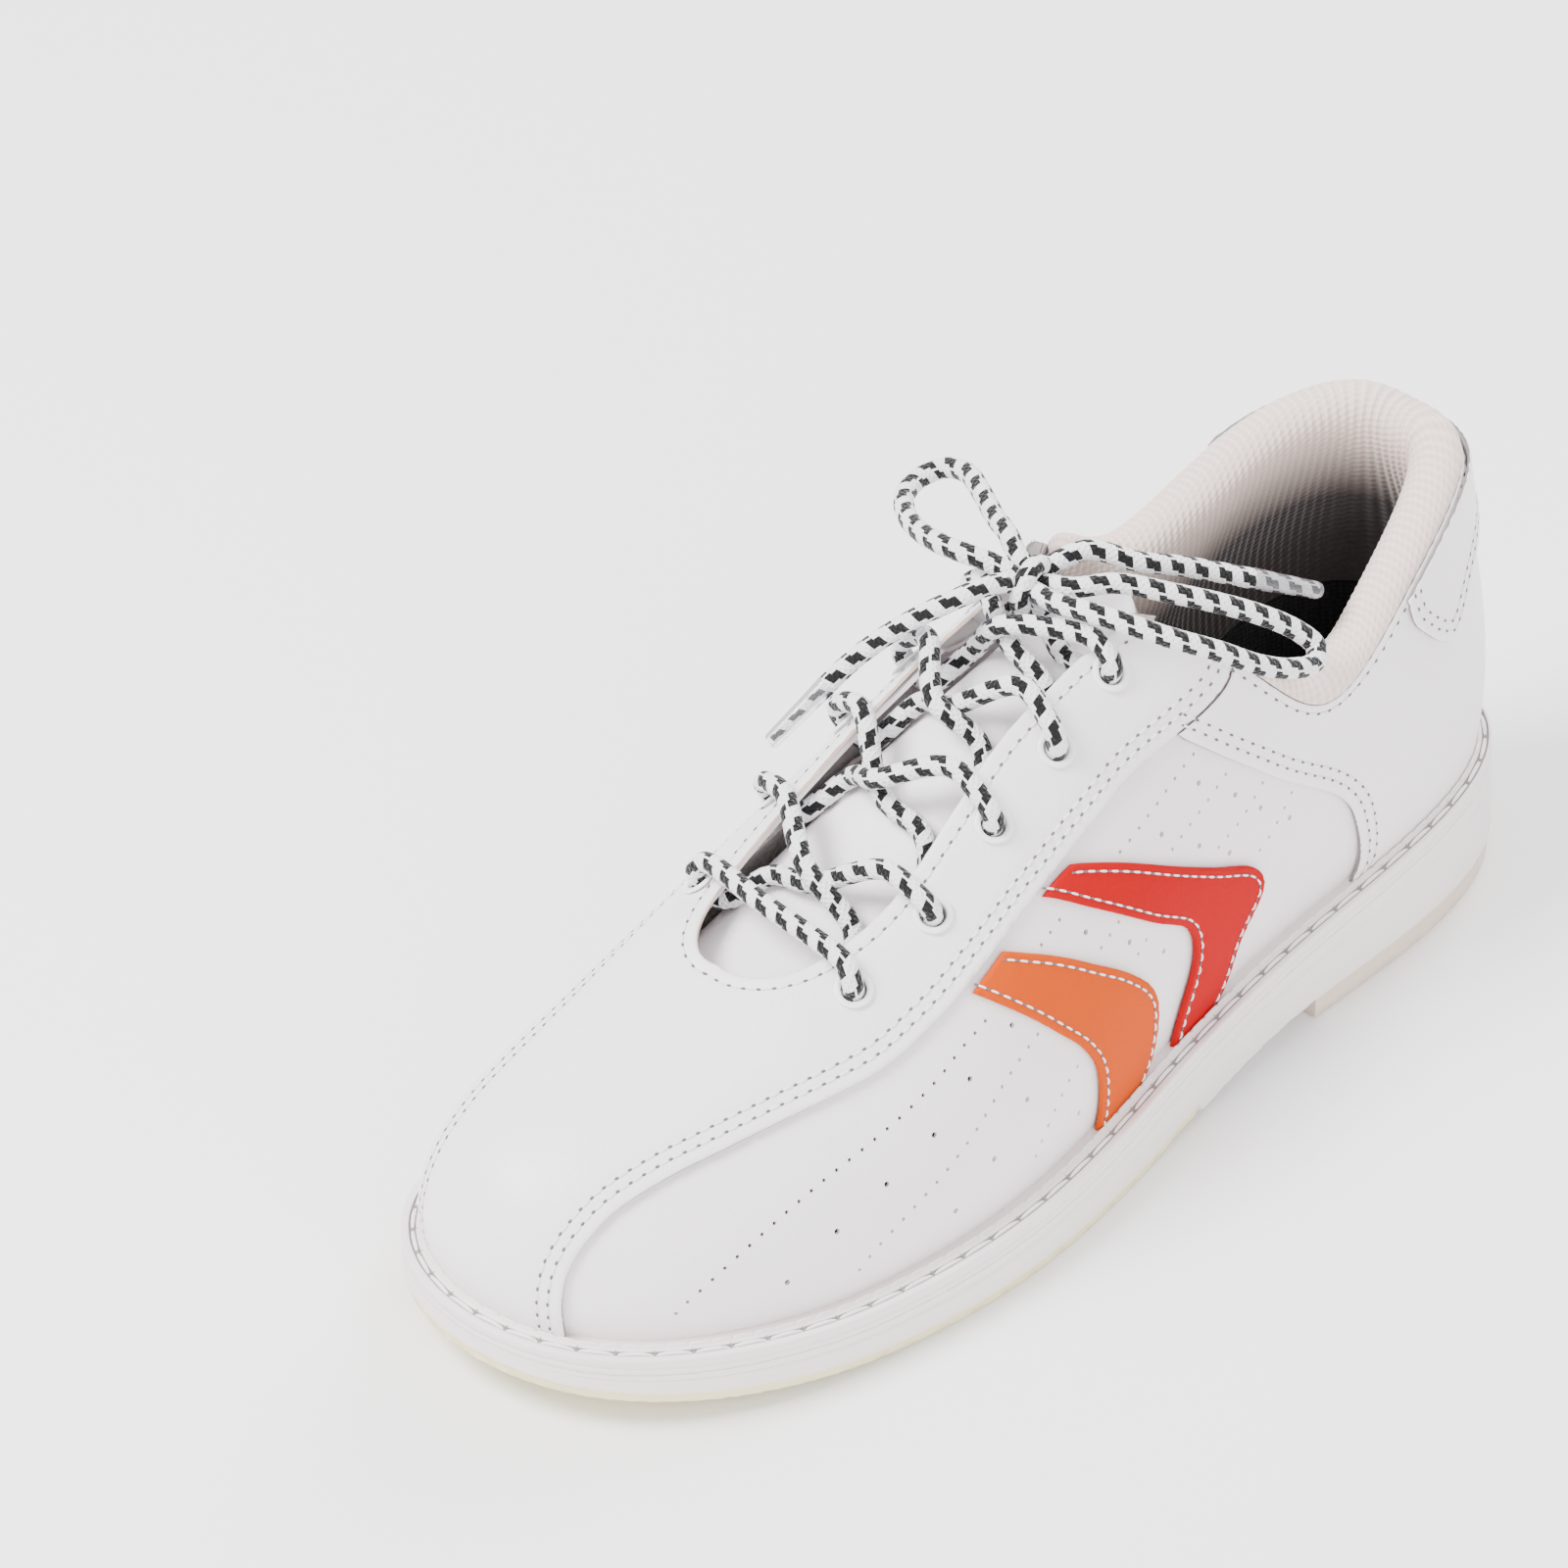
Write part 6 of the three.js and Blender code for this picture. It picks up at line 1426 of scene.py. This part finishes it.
L1 = catmull([[-8.0,29.6,114.6],[-12.0,31.0,115.6]] + LOOP_1 + [[-12.6,27.4,115.0],[-8.8,27.4,114.0]], step=.55)
L2 = catmull([[-8.6,30.2,113.6],[-4.0,31.4,114.4]] + LOOP_2 + [[-3.2,26.6,114.8],[-7.6,27.0,114.4]], step=.55)
T1 = catmull([[-8.8,27.0,113.4],[-9.2,24.6,115.8]] + TAIL_1 + [AGLET_1[0], [-32.2,-18.1,92.7], [-34.2,-23.6,88.1]], step=.55)
T2 = catmull([[-8.4,30.6,113.6],[-8.0,33.2,115.4]] + TAIL_2 + [AGLET_2[0], [17.3,81.1,98.0], [20.1,87.2,94.7]], step=.55)
o1 = lace("loop_medial", L1, stands=["lace_loop_medial"])
o2 = lace("loop_lateral", L2, stands=["lace_loop_lateral"], x0=3.0)
def pinch(P_, a):
    d = np.concatenate([[0], np.cumsum(np.linalg.norm(np.diff(P_, axis=0), axis=1))])
    k = np.linalg.norm(P_ - np.array(a), axis=1).argmin()
    q = np.clip((d - d[k] + 1.0) / 3.0, 0, 1)
    return 1 - .27 * q * q * (3 - 2 * q) - .12 * np.clip((d - d[k]) / (d[-1] - d[k]), 0, 1)


o3 = lace("tail_medial", T1, stands=["lace_tail_medial"], x0=1.5, ends=(0, 0), squeeze=pinch(T1, AGLET_1[0]))
o4 = lace("tail_lateral", T2, stands=["lace_tail_lateral"], x0=2.5, ends=(0, 0), squeeze=pinch(T2, AGLET_2[0]))
ag = []
for nm, (a, b) in (("aglet_sleeve_medial", AGLET_1), ("aglet_sleeve_lateral", AGLET_2)):
    a, b = np.array(a), np.array(b)
    L_ = np.linalg.norm(b - a)
    P_ = a + (b - a) * np.array([-.03, -.02, 0, .04, .3, .6, .9, .96, .985, 1.0])[:, None]
    R__ = np.array([1.9, 2.35, 2.42, 2.40, 2.2, 2.05, 1.95, 1.85, 1.55, .9])
    T = unit(b - a)
    ex = unit(np.cross(T, [0, 0, 1.0]))
    ey = np.cross(T, ex)
    k = 24
    an = 2 * np.pi * np.arange(k) / k
    V_ = (P_[:, None] + R__[:, None, None] * (np.cos(an)[None, :, None] * ex + np.sin(an)[None, :, None] * ey)).reshape(-1, 3)
    F_ = grid_faces(len(P_), k, False, True) + [tuple(range(k)), tuple((len(P_) - 1) * k + j for j in reversed(range(k)))]
    ag.append(make(nm, V_, F_, "aglet", slot="aglet", stands=[nm.replace("_sleeve", "")], sharp=60))
print("lengths mm", round(LACING_MM, 1), [round(length(q), 1) for q in (L1, L2, T1, T2)])
pth = lambda P_: [list(q) for q in M(P_)]
ex_ = lambda P_: tuple(float(x) for x in M(P_[0]))
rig.cord(o1, exit=ex_(L1), length=LEN_L1, diameter=.0046, far_end="object", stiffness="limp", lay="loose", path=pth(L1))
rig.cord(o2, exit=ex_(L2), length=LEN_L2, diameter=.0046, far_end="object", stiffness="limp", lay="loose", path=pth(L2))
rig.cord(o3, exit=ex_(T1), length=LEN_T1, diameter=.0046, far_end="fitting", stiffness="limp", lay="loose", path=pth(T1), with_pieces=[ag[0]])
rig.cord(o4, exit=ex_(T2), length=LEN_T2, diameter=.0046, far_end="fitting", stiffness="limp", lay="loose", path=pth(T2), with_pieces=[ag[1]])

# ------------------------------------------------------------------ parts that keep their CAD mesh
# the quarter lining takes the lining colour with painted shade toward the heel
KEEP = {"midsole_filler": ("cork", "filler"), "shank": ("steel", "shank_steel"), "insole_board": ("card", "board"), "toe_puff": ("stiff", "stiffener"), "heel_counter": ("stiff", "stiffener"),
        "vamp_lining": ("lining_light", "lining"), "quarter_lining": ("lining_dark", "lining_dark")}
for nm, (mt, sl) in KEEP.items():
    o = frame["nodes"][nm]
    o.data.materials.clear()
    o.data.materials.append(MAT[mt])
    for p in o.data.polygons:
        p.use_smooth = True
    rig.slot(o, sl)

# ------------------------------------------------------------------ floor and light
fl, fnt, fb = base("floor", lin((250, 249, 249)), 0.8, spec=0.1)
nz_ = node(fnt, "ShaderNodeTexNoise", Scale=2.0)
fnt.links.new(coords(fnt), nz_.inputs["Vector"])
bump(fnt, fb, nz_.outputs["Fac"], 0.01, 0.0005)
me = bpy.data.meshes.new("floor")
me.from_pydata([(-6, -6, 0), (6, -6, 0), (6, 6, 0), (-6, 6, 0)], [], [(0, 1, 2, 3)])
me.materials.append(fl)
floor = bpy.data.objects.new("floor", me)
floor.location.z = -0.0002
bpy.context.scene.collection.objects.link(floor)
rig.stage(floor)
world = bpy.data.worlds.new("studio")
bpy.context.scene.world = world
world.use_nodes = True
world.node_tree.nodes["Background"].inputs[0].default_value = (1.0, 0.995, 1.0, 1)
world.node_tree.nodes["Background"].inputs[1].default_value = WORLD


def light(name, pos, aim, size, power, color=(1, 1, 1)):
    d = bpy.data.lights.new(name, "AREA")
    d.shape, d.size, d.energy, d.color = "DISK", size, power, color
    o = bpy.data.objects.new(name, d)
    o.location = pos
    o.rotation_mode = "QUATERNION"
    o.rotation_quaternion = (Vector(aim) - Vector(pos)).to_track_quat("-Z", "Y")
    bpy.context.scene.collection.objects.link(o)


light("key", (-0.5, -0.9, 1.5), (0, 0, .05), 0.9, KEY)
light("fill", (1.3, -0.5, 0.9), (0, 0, .05), 1.2, FILL)
light("back", (-0.3, 1.3, 1.2), (0, 0, .05), 1.0, BACKL)

json.dump({"cad": BOX0, "visual": [list(v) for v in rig.bounds()]}, open("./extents.json", "w"))
